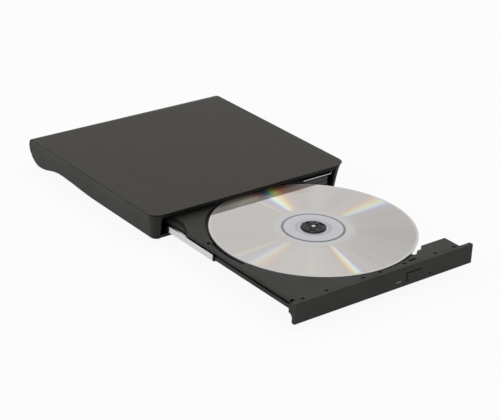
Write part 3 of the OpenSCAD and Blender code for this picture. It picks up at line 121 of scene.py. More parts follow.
lamps = {
    "lamp_above": ((0.25, 0.30, 1.15), (0.0, 0.0, 0.0), 1.0, 5.2),
    "lamp_left": ((-1.15, 0.30, 0.40), (0.0, 0.05, 0.0), 0.7, 4.2),
}
for lamp_name, (place, target, side, watts) in lamps.items():
    lamp_data = bpy.data.lights.new(lamp_name, "AREA")
    lamp_data.size = side
    lamp_data.energy = watts
    lamp = bpy.data.objects.new(lamp_name, lamp_data)
    lamp.location = place
    lamp.rotation_euler = (Vector(target) - Vector(place)).to_track_quat("-Z", "Y").to_euler()
    lamp.visible_glossy = False
    bpy.context.scene.collection.objects.link(lamp)

view_azimuth = math.radians(-38.58)
view_elevation = math.radians(25.32)
view_roll = math.radians(2.52)
view_from = Vector((-0.51593, -0.65564, 0.39628))
lens_mm = 110.1
sensor_mm = 36.0
to_camera = Vector((math.sin(view_azimuth) * math.cos(view_elevation),
                    -math.cos(view_azimuth) * math.cos(view_elevation),
                    math.sin(view_elevation)))
level_right = (-to_camera).cross(Vector((0, 0, 1))).normalized()
level_up = level_right.cross(-to_camera)
camera_right = math.cos(view_roll) * level_right + math.sin(view_roll) * level_up
camera_up = math.cos(view_roll) * level_up - math.sin(view_roll) * level_right
camera_data = bpy.data.cameras.new("camera")
camera_data.lens = lens_mm
camera_data.sensor_width = sensor_mm
camera = bpy.data.objects.new("camera", camera_data)
bpy.context.scene.collection.objects.link(camera)
camera.matrix_world = Matrix.Translation(view_from) @ Matrix(
    (camera_right, camera_up, to_camera)).transposed().to_4x4()
bpy.context.scene.camera = camera
bpy.context.scene.view_settings.view_transform = "Standard"


# Lower case: one moulding in satin black plastic with a fine spark-eroded grain.
# Its side walls, wavy underside and rear bulge come out of the mould in one piece.
case_black = (0.025, 0.0238, 0.0212, 1)
case_pale = (0.034, 0.0324, 0.0290, 1)
case_sheen = 0.14
case_rough = 0.50
flow_pitch = (45, 45, 45)
case_grain = (2600, 2600, 2600)
grain_depth_mm, grain_strength = 0.02, 0.5
gloss_spread = 0.06
weld_reach = 2e-6
edge_turn = math.radians(40)


def place_on_piece(nodes, links, scale, shift=(0, 0, 0)):
    """Coordinates fixed to the piece, in metres times a scale along each axis."""
    where = nodes.new("ShaderNodeTexCoord")
    mapping = nodes.new("ShaderNodeMapping")
    mapping.inputs["Scale"].default_value = scale
    mapping.inputs["Location"].default_value = shift
    links.new(where.outputs["Object"], mapping.inputs["Vector"])
    return mapping.outputs["Vector"]


def noise_on(nodes, links, scale, detail=3.0, rough=0.55):
    noise = nodes.new("ShaderNodeTexNoise")
    noise.inputs["Scale"].default_value = 1.0
    noise.inputs["Detail"].default_value = detail
    noise.inputs["Roughness"].default_value = rough
    links.new(place_on_piece(nodes, links, scale), noise.inputs["Vector"])
    return noise.outputs["Fac"]


def tint_between(nodes, links, value, dark, pale, low=0.35, high=0.65):
    ramp = nodes.new("ShaderNodeValToRGB")
    ramp.color_ramp.elements[0].position = low
    ramp.color_ramp.elements[0].color = dark
    ramp.color_ramp.elements[1].position = high
    ramp.color_ramp.elements[1].color = pale
    links.new(value, ramp.inputs["Fac"])
    return ramp.outputs["Color"]


def spread_of(nodes, links, value, low, high):
    spread = nodes.new("ShaderNodeMapRange")
    spread.inputs["To Min"].default_value = low
    spread.inputs["To Max"].default_value = high
    links.new(value, spread.inputs["Value"])
    return spread.outputs["Result"]


def press_in(nodes, links, shader, height, depth_mm, strength):
    bump = nodes.new("ShaderNodeBump")
    bump.inputs["Distance"].default_value = depth_mm / 1000
    bump.inputs["Strength"].default_value = strength
    links.new(height, bump.inputs["Height"])
    links.new(bump.outputs["Normal"], shader.inputs["Normal"])


def moulded_plastic(name, dark, pale, roughness, sheen_level=0.4, grain=case_grain):
    """Moulded plastic: faint flow marks in the colour, and a fine grain in the gloss and relief."""
    finish, nodes, links, shader = new_finish(name)
    flow = noise_on(nodes, links, flow_pitch)
    links.new(tint_between(nodes, links, flow, dark, pale), shader.inputs["Base Color"])
    fine = noise_on(nodes, links, grain)
    gloss = spread_of(nodes, links, fine, roughness - gloss_spread, roughness + gloss_spread)
    links.new(gloss, shader.inputs["Roughness"])
    press_in(nodes, links, shader, fine, grain_depth_mm, grain_strength)
    shader.inputs["Specular IOR Level"].default_value = sheen_level
    return finish


def dress(finish, *names, edge_mm=0.0):
    """Gives CAD nodes their finish, with their sharp edges broken by a small round."""
    for name in names:
        piece = nodes_of_frame[name]
        piece.data.materials.clear()
        piece.data.materials.append(finish)
        if edge_mm:
            weld = piece.modifiers.new("joined", "WELD")
            weld.merge_threshold = weld_reach
            soften = piece.modifiers.new("broken_edges", "BEVEL")
            soften.width = edge_mm / 1000
            soften.segments = 2
            soften.limit_method = "ANGLE"
            soften.angle_limit = edge_turn
            soften.harden_normals = True


satin_case = moulded_plastic("satin_case", case_black, case_pale, case_rough, case_sheen)
dress(satin_case, "bottom_cover", edge_mm=0.15)


def new_piece(name, mesh, finish, smooth_deg=35):
    """A mesh piece with its finish, smooth across shallow edges."""
    data = bpy.data.meshes.new(name)
    mesh.to_mesh(data)
    mesh.free()
    data.materials.append(finish)
    for face in data.polygons:
        face.use_smooth = True
    data.set_sharp_from_angle(angle=math.radians(smooth_deg))
    piece = bpy.data.objects.new(name, data)
    bpy.context.scene.collection.objects.link(piece)
    return piece


def swept_outline(mesh, outline, start, end, along_depth=False):
    """A bar along the case's width, or its depth: an outline carried from one end to the other."""
    first, last = [[mesh.verts.new((a, at, z) if along_depth else (at, a, z)) for a, z in outline]
                   for at in (start, end)]
    for i in range(len(outline)):
        j = (i + 1) % len(outline)
        mesh.faces.new((first[i], first[j], last[j], last[i]))
    mesh.faces.new(list(reversed(first)))
    mesh.faces.new(last)
    bmesh.ops.recalc_face_normals(mesh, faces=mesh.faces)


# Blind: a ribbed wall of dark grey plastic that closes the case's mouth on the right.
# It stands on the floor under the drive's thin side, clear of the tray and its rail.
blind_dark = (0.060, 0.058, 0.056, 1)
blind_pale = (0.095, 0.092, 0.090, 1)
blind_from_x, blind_to_x = 0.0416, 0.0612
blind_front_y, blind_back_y = -0.0078, -0.0069
blind_low_z, blind_high_z = 0.0050, 0.0129
blind_ribs = 3
rib_depth = 0.0005
rib_share = 0.45
rib_slope = 0.1
rib_step = (blind_high_z - blind_low_z) / blind_ribs
blind_outline = [(blind_back_y, blind_high_z), (blind_back_y, blind_low_z)]
for i in range(blind_ribs):
    rib_z = blind_low_z + i * rib_step
    blind_outline += [(blind_front_y, rib_z), (blind_front_y, rib_z + rib_step * rib_share),
                      (blind_front_y + rib_depth, rib_z + rib_step * (rib_share + rib_slope)),
                      (blind_front_y + rib_depth, rib_z + rib_step * (1 - rib_slope))]
blind_outline.append((blind_front_y, blind_high_z))
blind_mesh = bmesh.new()
swept_outline(blind_mesh, blind_outline, blind_from_x, blind_to_x)
grey_filler = moulded_plastic("grey_filler", blind_dark, blind_pale, 0.50, 0.3)
blind = new_piece("blind_of_the_case", blind_mesh, grey_filler, 20)
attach(blind, "case")


# Feet and pads: four pieces of moulded rubber pressed into shallow seats under the case.
# The same black rubber makes the traverse's dampers and the turntable's friction ring.
rubber_black = (0.012, 0.012, 0.012, 1)
rubber_worn = (0.022, 0.022, 0.022, 1)
soft_rubber = moulded_plastic("soft_rubber", rubber_black, rubber_worn, 0.82, 0.3, (1400, 1400, 1400))
dress(soft_rubber, "front_feet", "rear_pads", "dampers", "friction_ring", edge_mm=0.1)


# Screws: small machine screws in black zinc, with domed heads and a cross recess for the driver.
# They hold the case shut, the boards down and the traverse's dampers in place.
screw_dark = (0.16, 0.16, 0.165, 1)
screw_pale = (0.30, 0.30, 0.31, 1)
screw_sides = 28
dome_steps = [(1.0, 0.0), (1.0, 0.55), (0.94, 0.78), (0.80, 0.94), (0.66, 1.0)]
cross_arm = 0.52
cross_half = 0.13
cross_depth = 0.6
cross_taper = 0.7
tip_length = 0.0006
tip_share = 0.55
fine_shank_r = 0.0008


def metal(name, dark, pale, roughness, scale, depth_mm=0.01, relief=0.2):
    """Bare or plated metal: a broken tone, an uneven gloss and a slight relief."""
    finish, nodes, links, shader = new_finish(name)
    tone = noise_on(nodes, links, scale)
    links.new(tint_between(nodes, links, tone, dark, pale), shader.inputs["Base Color"])
    gloss = spread_of(nodes, links, tone, roughness - gloss_spread, roughness + gloss_spread)
    links.new(gloss, shader.inputs["Roughness"])
    press_in(nodes, links, shader, tone, depth_mm, relief)
    shader.inputs["Metallic"].default_value = 1.0
    return finish


def ring_of(mesh, radius, height, sides):
    turn = 2 * math.pi / sides
    return [mesh.verts.new((radius * math.cos(i * turn), radius * math.sin(i * turn), height))
            for i in range(sides)]


def band_between(mesh, lower, upper):
    count = len(lower)
    for i in range(count):
        j = (i + 1) % count
        mesh.faces.new((lower[i], lower[j], upper[j], upper[i]))


def loop_edges(mesh, loop):
    edges = []
    for i, vert in enumerate(loop):
        after = loop[(i + 1) % len(loop)]
        edges.append(mesh.edges.get((vert, after)) or mesh.edges.new((vert, after)))
    return edges


def cross_screw(head_r, head_t, shank_r, shank_l):
    """One screw, seat at zero, head upward: a dome with a tapered cross cut into it, and a plain shank."""
    mesh = bmesh.new()
    rows = [ring_of(mesh, head_r * share, head_t * rise, screw_sides) for share, rise in dome_steps]
    for lower, upper in zip(rows, rows[1:]):
        band_between(mesh, lower, upper)
    arm, half = head_r * cross_arm, head_r * cross_half
    outline = [(arm, -half), (arm, half), (half, half), (half, arm), (-half, arm), (-half, half),
               (-arm, half), (-arm, -half), (-half, -half), (-half, -arm), (half, -arm), (half, -half)]
    lip = [mesh.verts.new((x, y, head_t)) for x, y in outline]
    bottom = [mesh.verts.new((x * cross_taper, y * cross_taper, head_t * (1 - cross_depth)))
              for x, y in outline]
    bmesh.ops.triangle_fill(mesh, use_beauty=True, edges=loop_edges(mesh, rows[-1]) + loop_edges(mesh, lip))
    band_between(mesh, bottom, lip)
    mesh.faces.new(bottom)
    neck = ring_of(mesh, shank_r, 0.0, screw_sides)
    end = ring_of(mesh, shank_r, -shank_l + tip_length, screw_sides)
    tip = ring_of(mesh, shank_r * tip_share, -shank_l, screw_sides)
    band_between(mesh, neck, rows[0])
    band_between(mesh, end, neck)
    band_between(mesh, tip, end)
    mesh.faces.new(list(reversed(tip)))
    bmesh.ops.recalc_face_normals(mesh, faces=mesh.faces)
    return mesh


def set_of_screws(name, node, body, seats, axis, head_r, head_t, shank_r, shank_l):
    """All the screws of one CAD node, each seated at a point with its head along the axis."""
    whole = bmesh.new()
    turn = Vector((0, 0, 1)).rotation_difference(Vector(axis)).to_matrix().to_4x4()
    for seat in seats:
        one = cross_screw(head_r, head_t, shank_r, shank_l)
        one.transform(Matrix.Translation(seat) @ turn)
        part = bpy.data.meshes.new("one_screw")
        one.to_mesh(part)
        one.free()
        whole.from_mesh(part)
        bpy.data.meshes.remove(part)
    piece = new_piece(name, whole, black_zinc)
    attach(piece, body)
    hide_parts(node)


black_zinc = metal("black_zinc", screw_dark, screw_pale, 0.38, (900, 900, 900))

low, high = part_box("case_screws")
case_head_r, case_head_t, case_shank_r = 0.002, 0.0014, 0.001
case_seats = [(x, low.y + case_head_r, low.z + case_head_t)
              for x in (low.x + case_head_r, high.x - case_head_r)]
set_of_screws("screws_of_the_case", "case_screws", "case", case_seats, (0, 0, -1),
              case_head_r, case_head_t, case_shank_r, high.z - low.z - case_head_t)

low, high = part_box("main_board_screws")
board_head_r, board_head_t = 0.0015, 0.0005
board_seats = [(x, y, low.z + board_head_t)
               for x in (low.x + board_head_r, high.x - board_head_r)
               for y in (low.y + board_head_r, high.y - board_head_r)]
set_of_screws("screws_of_the_main_board", "main_board_screws", "drawer", board_seats, (0, 0, -1),
              board_head_r, board_head_t, fine_shank_r, high.z - low.z - board_head_t)

low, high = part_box("damper_screws")
damper_head_r, damper_head_t = 0.0018, 0.0005
traverse_turn = math.radians(225)
disc_low, disc_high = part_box("disc")
disc_centre = (disc_low + disc_high) / 2
damper_spots = [(-0.013, -0.015), (-0.009, 0.020), (0.0715, 0.0)]
damper_seats = [(disc_centre.x + u * math.cos(traverse_turn) - v * math.sin(traverse_turn),
                 disc_centre.y + u * math.sin(traverse_turn) + v * math.cos(traverse_turn),
                 low.z + damper_head_t) for u, v in damper_spots]
set_of_screws("screws_of_the_dampers", "damper_screws", "drawer", damper_seats, (0, 0, -1),
              damper_head_r, damper_head_t, fine_shank_r, high.z - low.z - damper_head_t)

low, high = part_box("board_screws")
rear_head_r, rear_head_t = 0.0016, 0.0008
rear_seats = [(x, low.y + rear_head_r, high.z - rear_head_t)
              for x in (low.x + rear_head_r, high.x - rear_head_r)]
set_of_screws("screws_of_the_bridge_board", "board_screws", "case", rear_seats, (0, 0, 1),
              rear_head_r, rear_head_t, fine_shank_r, high.z - low.z - rear_head_t)

low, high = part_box("bracket_screw")
set_of_screws("screw_of_the_bracket", "bracket_screw", "case",
              [((low.x + high.x) / 2, (low.y + high.y) / 2, high.z - rear_head_t)], (0, 0, 1),
              rear_head_r, rear_head_t, fine_shank_r, high.z - low.z - rear_head_t)

low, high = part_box("drive_screws")
shell_head_r, shell_head_t = 0.0015, 0.0006
shell_seats = [(x, high.y - shell_head_t, (low.z + high.z) / 2)
               for x in (low.x + shell_head_r, high.x - shell_head_r)]
set_of_screws("screws_of_the_shell", "drive_screws", "case", shell_seats, (0, 1, 0),
              shell_head_r, shell_head_t, fine_shank_r, high.y - low.y - shell_head_t)


# Slim drive's shell: a roof and a pan pressed from zinc-plated sheet steel, with a small bracket.
# The plating shows soft cloudy patches.
zinc_dark = (0.50, 0.50, 0.505, 1)
zinc_pale = (0.66, 0.66, 0.665, 1)
zinc_sheet = metal("zinc_sheet", zinc_dark, zinc_pale, 0.30, (120, 120, 120))
dress(zinc_sheet, "drive_top_case", "drive_bottom_case", "drive_bracket", "deck_plate", "spindle_base",
      "spindle_rotor", edge_mm=0.06)


# Shade strip: a strip of black film folded over the pan's sharp front edge, below the left rail.
# It is painted shade: a dark sheet put where the edge lies in shade, so that it shows no bright line.
shade_strip_thick = 0.00008
shade_strip_reach = 0.0018
shade_strip_from_x, shade_strip_to_x = -0.0638, -0.0400
pan_floor_t = 0.0005
pan_front_y = -0.00695
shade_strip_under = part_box("drive_bottom_case")[0].z
shade_strip_over = shade_strip_under + pan_floor_t
shade_strip_outline = [
    (pan_front_y + shade_strip_reach, shade_strip_over), (pan_front_y, shade_strip_over),
    (pan_front_y, shade_strip_under), (pan_front_y + shade_strip_reach, shade_strip_under),
    (pan_front_y + shade_strip_reach, shade_strip_under - shade_strip_thick), (pan_front_y - shade_strip_thick, shade_strip_under - shade_strip_thick),
    (pan_front_y - shade_strip_thick, shade_strip_over + shade_strip_thick), (pan_front_y + shade_strip_reach, shade_strip_over + shade_strip_thick),
]
shade_strip_mesh = bmesh.new()
swept_outline(shade_strip_mesh, shade_strip_outline, shade_strip_from_x, shade_strip_to_x)
# Painted shade: this dark sheet stands where the pan's edge lies in shade.
shade_strip = new_piece("shade_strip_of_the_pan", shade_strip_mesh, soft_rubber)
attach(shade_strip, "case")


# Hem: the pan's front lip turned up at the right, where it meets the side wall.
# It is the same sheet, and shows as a bright line round the corner of the mouth.
hem_outline = [
    (0.0626, 0.01308), (0.0634, 0.01308), (0.0638, 0.01322), (0.0640, 0.01360), (0.0640, 0.01680),
    (0.0635, 0.01680), (0.0635, 0.01390), (0.06338, 0.01370), (0.0631, 0.01362), (0.0626, 0.01362),
]
hem_front_y = -0.00817
hem_mesh = bmesh.new()
swept_outline(hem_mesh, hem_outline, hem_front_y, pan_front_y, along_depth=True)
hem = new_piece("hem_of_the_pan", hem_mesh, zinc_sheet)
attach(hem, "case")


# Circuit boards: glass-fibre laminate under green solder mask.
# Copper traces under the mask show as a paler green.
board_green = (0.008, 0.060, 0.026, 1)
trace_green = (0.022, 0.130, 0.058, 1)


def masked_board(name):
    finish, nodes, links, shader = new_finish(name)
    traces = nodes.new("ShaderNodeTexBrick")
    traces.inputs["Scale"].default_value = 1.0
    traces.inputs["Color1"].default_value = board_green
    traces.inputs["Color2"].default_value = board_green
    traces.inputs["Mortar"].default_value = trace_green
    traces.inputs["Mortar Size"].default_value = 0.06
    traces.inputs["Brick Width"].default_value = 1.3
    traces.inputs["Row Height"].default_value = 0.35
    links.new(place_on_piece(nodes, links, (520, 520, 520)), traces.inputs["Vector"])
    links.new(traces.outputs["Color"], shader.inputs["Base Color"])
    press_in(nodes, links, shader, traces.outputs["Fac"], 0.03, 0.4)
    shader.inputs["Roughness"].default_value = 0.32
    shader.inputs["Coat Weight"].default_value = 0.25
    return finish


solder_mask = masked_board("solder_mask")
dress(solder_mask, "rear_board", "bridge_board", "front_board", "main_board", edge_mm=0.04)


# Connectors and chips: black moulded resin on the boards, with a plain satin face.
# The chips stand on tinned legs that bend down to the board on all four sides.
resin_black = (0.010, 0.010, 0.0105, 1)
resin_grey = (0.020, 0.020, 0.021, 1)
tin_dark = (0.50, 0.50, 0.50, 1)
tin_pale = (0.66, 0.66, 0.65, 1)
leg_pitch = 0.0008
leg_half = 0.00016
leg_thick = 0.00012
leg_reach = 0.0007
leg_margin = 0.0006
leg_knee, leg_foot = 0.35, 0.6
main_chip_spots = [(-0.018, -0.02855, 0.012), (0.002, -0.02455, 0.009), (-0.004, -0.03155, 0.004)]
bridge_chip_spots = [(-0.008, 0.12005, 0.005), (0.002, 0.12005, 0.003), (0.034, 0.12005, 0.0035)]


def strip_along(mesh, path, across, thick):
    """A thin bent strip: a run of points, half a width to each side, and a thickness below them."""
    top, low_row = [], []
    for point in path:
        top.append((mesh.verts.new(point - across), mesh.verts.new(point + across)))
        low_row.append((mesh.verts.new(point - across - thick), mesh.verts.new(point + across - thick)))
    for i in range(len(path) - 1):
        mesh.faces.new((top[i][0], top[i][1], top[i + 1][1], top[i + 1][0]))
        mesh.faces.new((low_row[i][0], low_row[i + 1][0], low_row[i + 1][1], low_row[i][1]))
        for k in (0, 1):
            mesh.faces.new((top[i][k], top[i + 1][k], low_row[i + 1][k], low_row[i][k]))
    for i in (0, -1):
        mesh.faces.new((top[i][0], top[i][1], low_row[i][1], low_row[i][0]))


def chip_legs(mesh, x, y, side, mid_z, foot_z):
    """Legs round one square chip: out from the middle of its side, down to the board, and out again."""
    count = int((side - 2 * leg_margin) / leg_pitch) + 1
    first = (side - (count - 1) * leg_pitch) / 2
    lift = Vector((0, 0, foot_z - mid_z))
    thick = Vector((0, 0, leg_thick if lift.z < 0 else -leg_thick))
    for out, along, start in [(Vector((0, -1, 0)), Vector((1, 0, 0)), Vector((x, y, mid_z))),
                              (Vector((0, 1, 0)), Vector((1, 0, 0)), Vector((x, y + side, mid_z))),
                              (Vector((-1, 0, 0)), Vector((0, 1, 0)), Vector((x, y, mid_z))),
                              (Vector((1, 0, 0)), Vector((0, 1, 0)), Vector((x + side, y, mid_z)))]:
        for i in range(count):
            root = start + along * (first + i * leg_pitch)
            path = [root, root + out * leg_reach * leg_knee, root + out * leg_reach * leg_foot + lift,
                    root + out * leg_reach + lift]
            strip_along(mesh, path, along * leg_half, thick)


def legs_piece(name, body, spots, mid_z, foot_z):
    mesh = bmesh.new()
    for x, y, side in spots:
        chip_legs(mesh, x, y, side, mid_z, foot_z)
    bmesh.ops.recalc_face_normals(mesh, faces=mesh.faces)
    piece = new_piece(name, mesh, tinned)
    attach(piece, body)


moulded_resin = moulded_plastic("moulded_resin", resin_black, resin_grey, 0.5, 0.35, (1800, 1800, 1800))
dress(moulded_resin, "rear_plug", "bridge_socket", "bridge_chips", "main_chips", edge_mm=0.08)
tinned = metal("tinned", tin_dark, tin_pale, 0.28, (1500, 1500, 1500))
chip_low, chip_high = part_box("main_chips")
legs_piece("legs_of_the_main_chips", "drawer", main_chip_spots,
           (chip_low.z + chip_high.z) / 2, chip_high.z - leg_thick)
chip_low, chip_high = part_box("bridge_chips")
legs_piece("legs_of_the_bridge_chips", "case", bridge_chip_spots,
           (chip_low.z + chip_high.z) / 2, chip_low.z + leg_thick)


# Small parts on the boards: ceramic resistors and capacitors with tinned ends, soldered flat.
# They stand in short rows beside the chips.
ceramic_tan = (0.30, 0.22, 0.13, 1)
ceramic_dark = (0.20, 0.15, 0.09, 1)
small_l, small_w, small_h = 0.0016, 0.0008, 0.0005
small_end = 0.0003
small_ease, end_ease, end_proud = 0.00005, 0.0001, 0.00003
main_small = [(-0.050 + 0.0026 * i, -0.0250 + 0.0030 * (i % 3)) for i in range(6)] + [
    (0.0135 + 0.0022 * (i % 2), -0.0300 + 0.0026 * i) for i in range(6)] + [
    (-0.0175 + 0.0030 * i, -0.0325) for i in range(4)]
bridge_small = [(-0.045 + 0.0032 * i, 0.1262) for i in range(5)] + [
    (0.0375 + 0.0030 * (i % 2), 0.1250 - 0.0018 * (i // 2)) for i in range(2)]


def eased_block(mesh, a, b, ease):
    """A small block with its upright corners cut, so that it shows no razor edge."""
    outline = [(a.x + ease, a.y), (b.x - ease, a.y), (b.x, a.y + ease), (b.x, b.y - ease),
               (b.x - ease, b.y), (a.x + ease, b.y), (a.x, b.y - ease), (a.x, a.y + ease)]
    bottom = [mesh.verts.new((x, y, a.z)) for x, y in outline]
    top = [mesh.verts.new((x, y, b.z)) for x, y in outline]
    band_between(mesh, bottom, top)
    mesh.faces.new(list(reversed(bottom)))
    mesh.faces.new(top)


def small_parts(name, body, spots, z0, z1):
    bodies_mesh, ends_mesh = bmesh.new(), bmesh.new()
    for x, y in spots:
        eased_block(bodies_mesh, Vector((x + small_end, y, z0)),
                    Vector((x + small_l - small_end, y + small_w, z1)), small_ease)
        for start in (x, x + small_l - small_end):
            eased_block(ends_mesh, Vector((start, y - end_proud, z0)),
                        Vector((start + small_end, y + small_w + end_proud, z1)), end_ease)
    for part, mesh, finish in (("bodies", bodies_mesh, fired_ceramic), ("ends", ends_mesh, tinned)):
        piece = new_piece(name + "_" + part, mesh, finish)
        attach(piece, body)


fired_ceramic = moulded_plastic("fired_ceramic", ceramic_dark, ceramic_tan, 0.5, 0.4, (1800, 1800, 1800))
board_low, board_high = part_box("main_board")
small_parts("small_parts_of_the_main_board", "drawer", main_small, board_low.z - small_h, board_low.z)
board_low, board_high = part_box("bridge_board")
small_parts("small_parts_of_the_bridge_board", "case", bridge_small, board_high.z, board_high.z + small_h)


# Inlet, striker and small pins: drawn or turned steel with a nickel plate.
# The inlet's tongue carries gilt contacts on both faces.
nickel_dark = (0.55, 0.55, 0.545, 1)
nickel_pale = (0.70, 0.70, 0.695, 1)
gilt_dark = (0.62, 0.42, 0.14, 1)
gilt_pale = (0.80, 0.58, 0.24, 1)
contact_count = 12
contact_pitch = 0.0005
contact_half = 0.00014
contact_rise = 0.00004
contact_nose = 0.0003
tongue_half = 0.00035
tongue_start = 0.0022
tongue_end = 0.0014
nickel_plate = metal("nickel_plate", nickel_dark, nickel_pale, 0.20, (600, 600, 600))
dress(nickel_plate, "usb_socket", "striker_pin", "eject_switch", "guide_rods", "sled_motor",
      "spindle_shaft", "actuator_yoke", "latch_pin", "latch_armature", edge_mm=0.05)
gilt = metal("gilt", gilt_dark, gilt_pale, 0.22, (1500, 1500, 1500))
inlet_low, inlet_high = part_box("usb_socket")
inlet_x, inlet_z = (inlet_low.x + inlet_high.x) / 2, (inlet_low.z + inlet_high.z) / 2
contacts_mesh = bmesh.new()
for face in (-1, 1):
    for i in range(contact_count):
        middle = inlet_x + (i - (contact_count - 1) / 2) * contact_pitch
        seat_z = inlet_z + face * tongue_half
        strip_along(contacts_mesh,
                    [Vector((middle, inlet_low.y + tongue_start, seat_z + face * contact_rise)),
                     Vector((middle, inlet_high.y - tongue_end - contact_nose, seat_z + face * contact_rise)),
                     Vector((middle, inlet_high.y - tongue_end, seat_z))],
                    Vector((contact_half, 0, 0)), Vector((0, 0, face * contact_rise * 2)))
bmesh.ops.recalc_face_normals(contacts_mesh, faces=contacts_mesh.faces)
contacts = new_piece("contacts_of_the_inlet", contacts_mesh, gilt)
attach(contacts, "case")


# Lead screw: a turned steel rod with a coarse rolled thread, driven by the sled motor.
# One turn of it moves the pickup's nut along by one pitch.
thread_pitch = 0.003
thread_depth = 0.00022
thread_around = 20
thread_steps = 12
plain_end = 0.0015
thread_runout = 0.0005
thread_low, thread_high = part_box("lead_screw")
thread_r = (thread_high.z - thread_low.z) / 2
thread_z = (thread_low.z + thread_high.z) / 2
thread_axis = Vector((math.cos(traverse_turn), math.sin(traverse_turn), 0))
side_room = thread_r * abs(math.sin(traverse_turn))
thread_from = Vector((thread_high.x - side_room, thread_high.y - side_room, thread_z))
thread_to = Vector((thread_low.x + side_room, thread_low.y + side_room, thread_z))
thread_l = (thread_to - thread_from).length
thread_rows = int(thread_l / thread_pitch * thread_steps)
thread_mesh = bmesh.new()
rows = []
for k in range(thread_rows + 1):
    at = thread_l * k / thread_rows
    inside = min(at, thread_l - at)
    cut = thread_depth * min(max((inside - plain_end) / thread_runout, 0), 1)
    row = []
    for i in range(thread_around):
        turn = 2 * math.pi * i / thread_around
        wave = 0.5 + 0.5 * math.cos(turn - 2 * math.pi * at / thread_pitch)
        radius = thread_r - cut * wave ** 2
        row.append(thread_mesh.verts.new((radius * math.cos(turn), radius * math.sin(turn), at)))
    rows.append(row)
for lower, upper in zip(rows, rows[1:]):
    band_between(thread_mesh, lower, upper)
thread_mesh.faces.new(list(reversed(rows[0])))
thread_mesh.faces.new(rows[-1])
thread_mesh.transform(Matrix.Translation(thread_from)
                      @ Vector((0, 0, 1)).rotation_difference(thread_axis).to_matrix().to_4x4())
threaded_rod = new_piece("threaded_lead_screw", thread_mesh, nickel_plate)
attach(threaded_rod, "feed_screw")
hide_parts("lead_screw")


# Top cover: a charcoal plate that rolls down over the rear bulge and clips over the lower case.
# Fine drawn lines are moulded into it from front to rear.
lid_dark = (0.0445, 0.0421, 0.0375, 1)
lid_pale = (0.0600, 0.0568, 0.0506, 1)
# Painted shade: the colour of the lid's forward faces, darker than the top for the shade they lie in.
painted_lip_shade = (0.020, 0.0190, 0.0170, 1)
line_pitch = (2600, 22, 22)
band_pitch = (260, 9, 9)
line_share = 0.82
lid_sheen = 0.08
lid_rough_low, lid_rough_high = 0.42, 0.56
line_depth_mm, line_strength = 0.03, 0.6
lip_slope = -0.5


def mix_colours(nodes, links, factor, first, second):
    mix = nodes.new("ShaderNodeMix")
    mix.data_type = "RGBA"
    links.new(factor, mix.inputs["Factor"])
    links.new(first, mix.inputs["A"])
    links.new(second, mix.inputs["B"])
    return mix.outputs["Result"]


def drawn_plastic(name):
    """Lined on top, with painted shade darkening the faces that look forward."""
    finish, nodes, links, shader = new_finish(name)
    lines = noise_on(nodes, links, line_pitch, 4.0, 0.6)
    bands = noise_on(nodes, links, band_pitch, 2.0, 0.5)
    both = nodes.new("ShaderNodeMath")
    both.operation = "MULTIPLY_ADD"
    both.inputs[1].default_value = line_share
    scaled = nodes.new("ShaderNodeMath")
    scaled.operation = "MULTIPLY"
    scaled.inputs[1].default_value = 1 - line_share
    links.new(bands, scaled.inputs[0])
    links.new(lines, both.inputs[0])
    links.new(scaled.outputs[0], both.inputs[2])
    # Painted shade: faces that look forward take the dark lip colour instead of the lined one.
    slope = nodes.new("ShaderNodeSeparateXYZ")
    links.new(nodes.new("ShaderNodeTexCoord").outputs["Normal"], slope.inputs[0])
    forward = nodes.new("ShaderNodeMath")
    forward.operation = "LESS_THAN"
    forward.inputs[1].default_value = lip_slope
    links.new(slope.outputs["Y"], forward.inputs[0])
    lined = tint_between(nodes, links, both.outputs[0], lid_dark, lid_pale)
    smooth = tint_between(nodes, links, bands, painted_lip_shade, case_black)
    links.new(mix_colours(nodes, links, forward.outputs[0], lined, smooth), shader.inputs["Base Color"])
    links.new(spread_of(nodes, links, lines, lid_rough_low, lid_rough_high), shader.inputs["Roughness"])
    press_in(nodes, links, shader, both.outputs[0], line_depth_mm, line_strength)
    shader.inputs["Specular IOR Level"].default_value = lid_sheen
    return finish


drawn_lid = drawn_plastic("drawn_lid")
dress(drawn_lid, "top_cover", edge_mm=0.2)


# Rails: two channels of bright rolled steel on which the tray runs out.
# Rolling leaves long faint streaks along them. Their front ends are dipped black,
# and painted shade darkens the length that stays in the drive.
rail_dark = (0.53, 0.53, 0.525, 1)
rail_pale = (0.69, 0.69, 0.685, 1)
dip_and_painted_shade_black = (0.010, 0.010, 0.010, 1)
dip_and_painted_shade_pale = (0.020, 0.020, 0.020, 1)
roll_pitch = (1500, 12, 1500)
dip_length = 0.0012
# Painted shade: behind this line the rail is coloured as dark as its dip, for the shade inside the mouth.
painted_shade_from_y = -0.0150


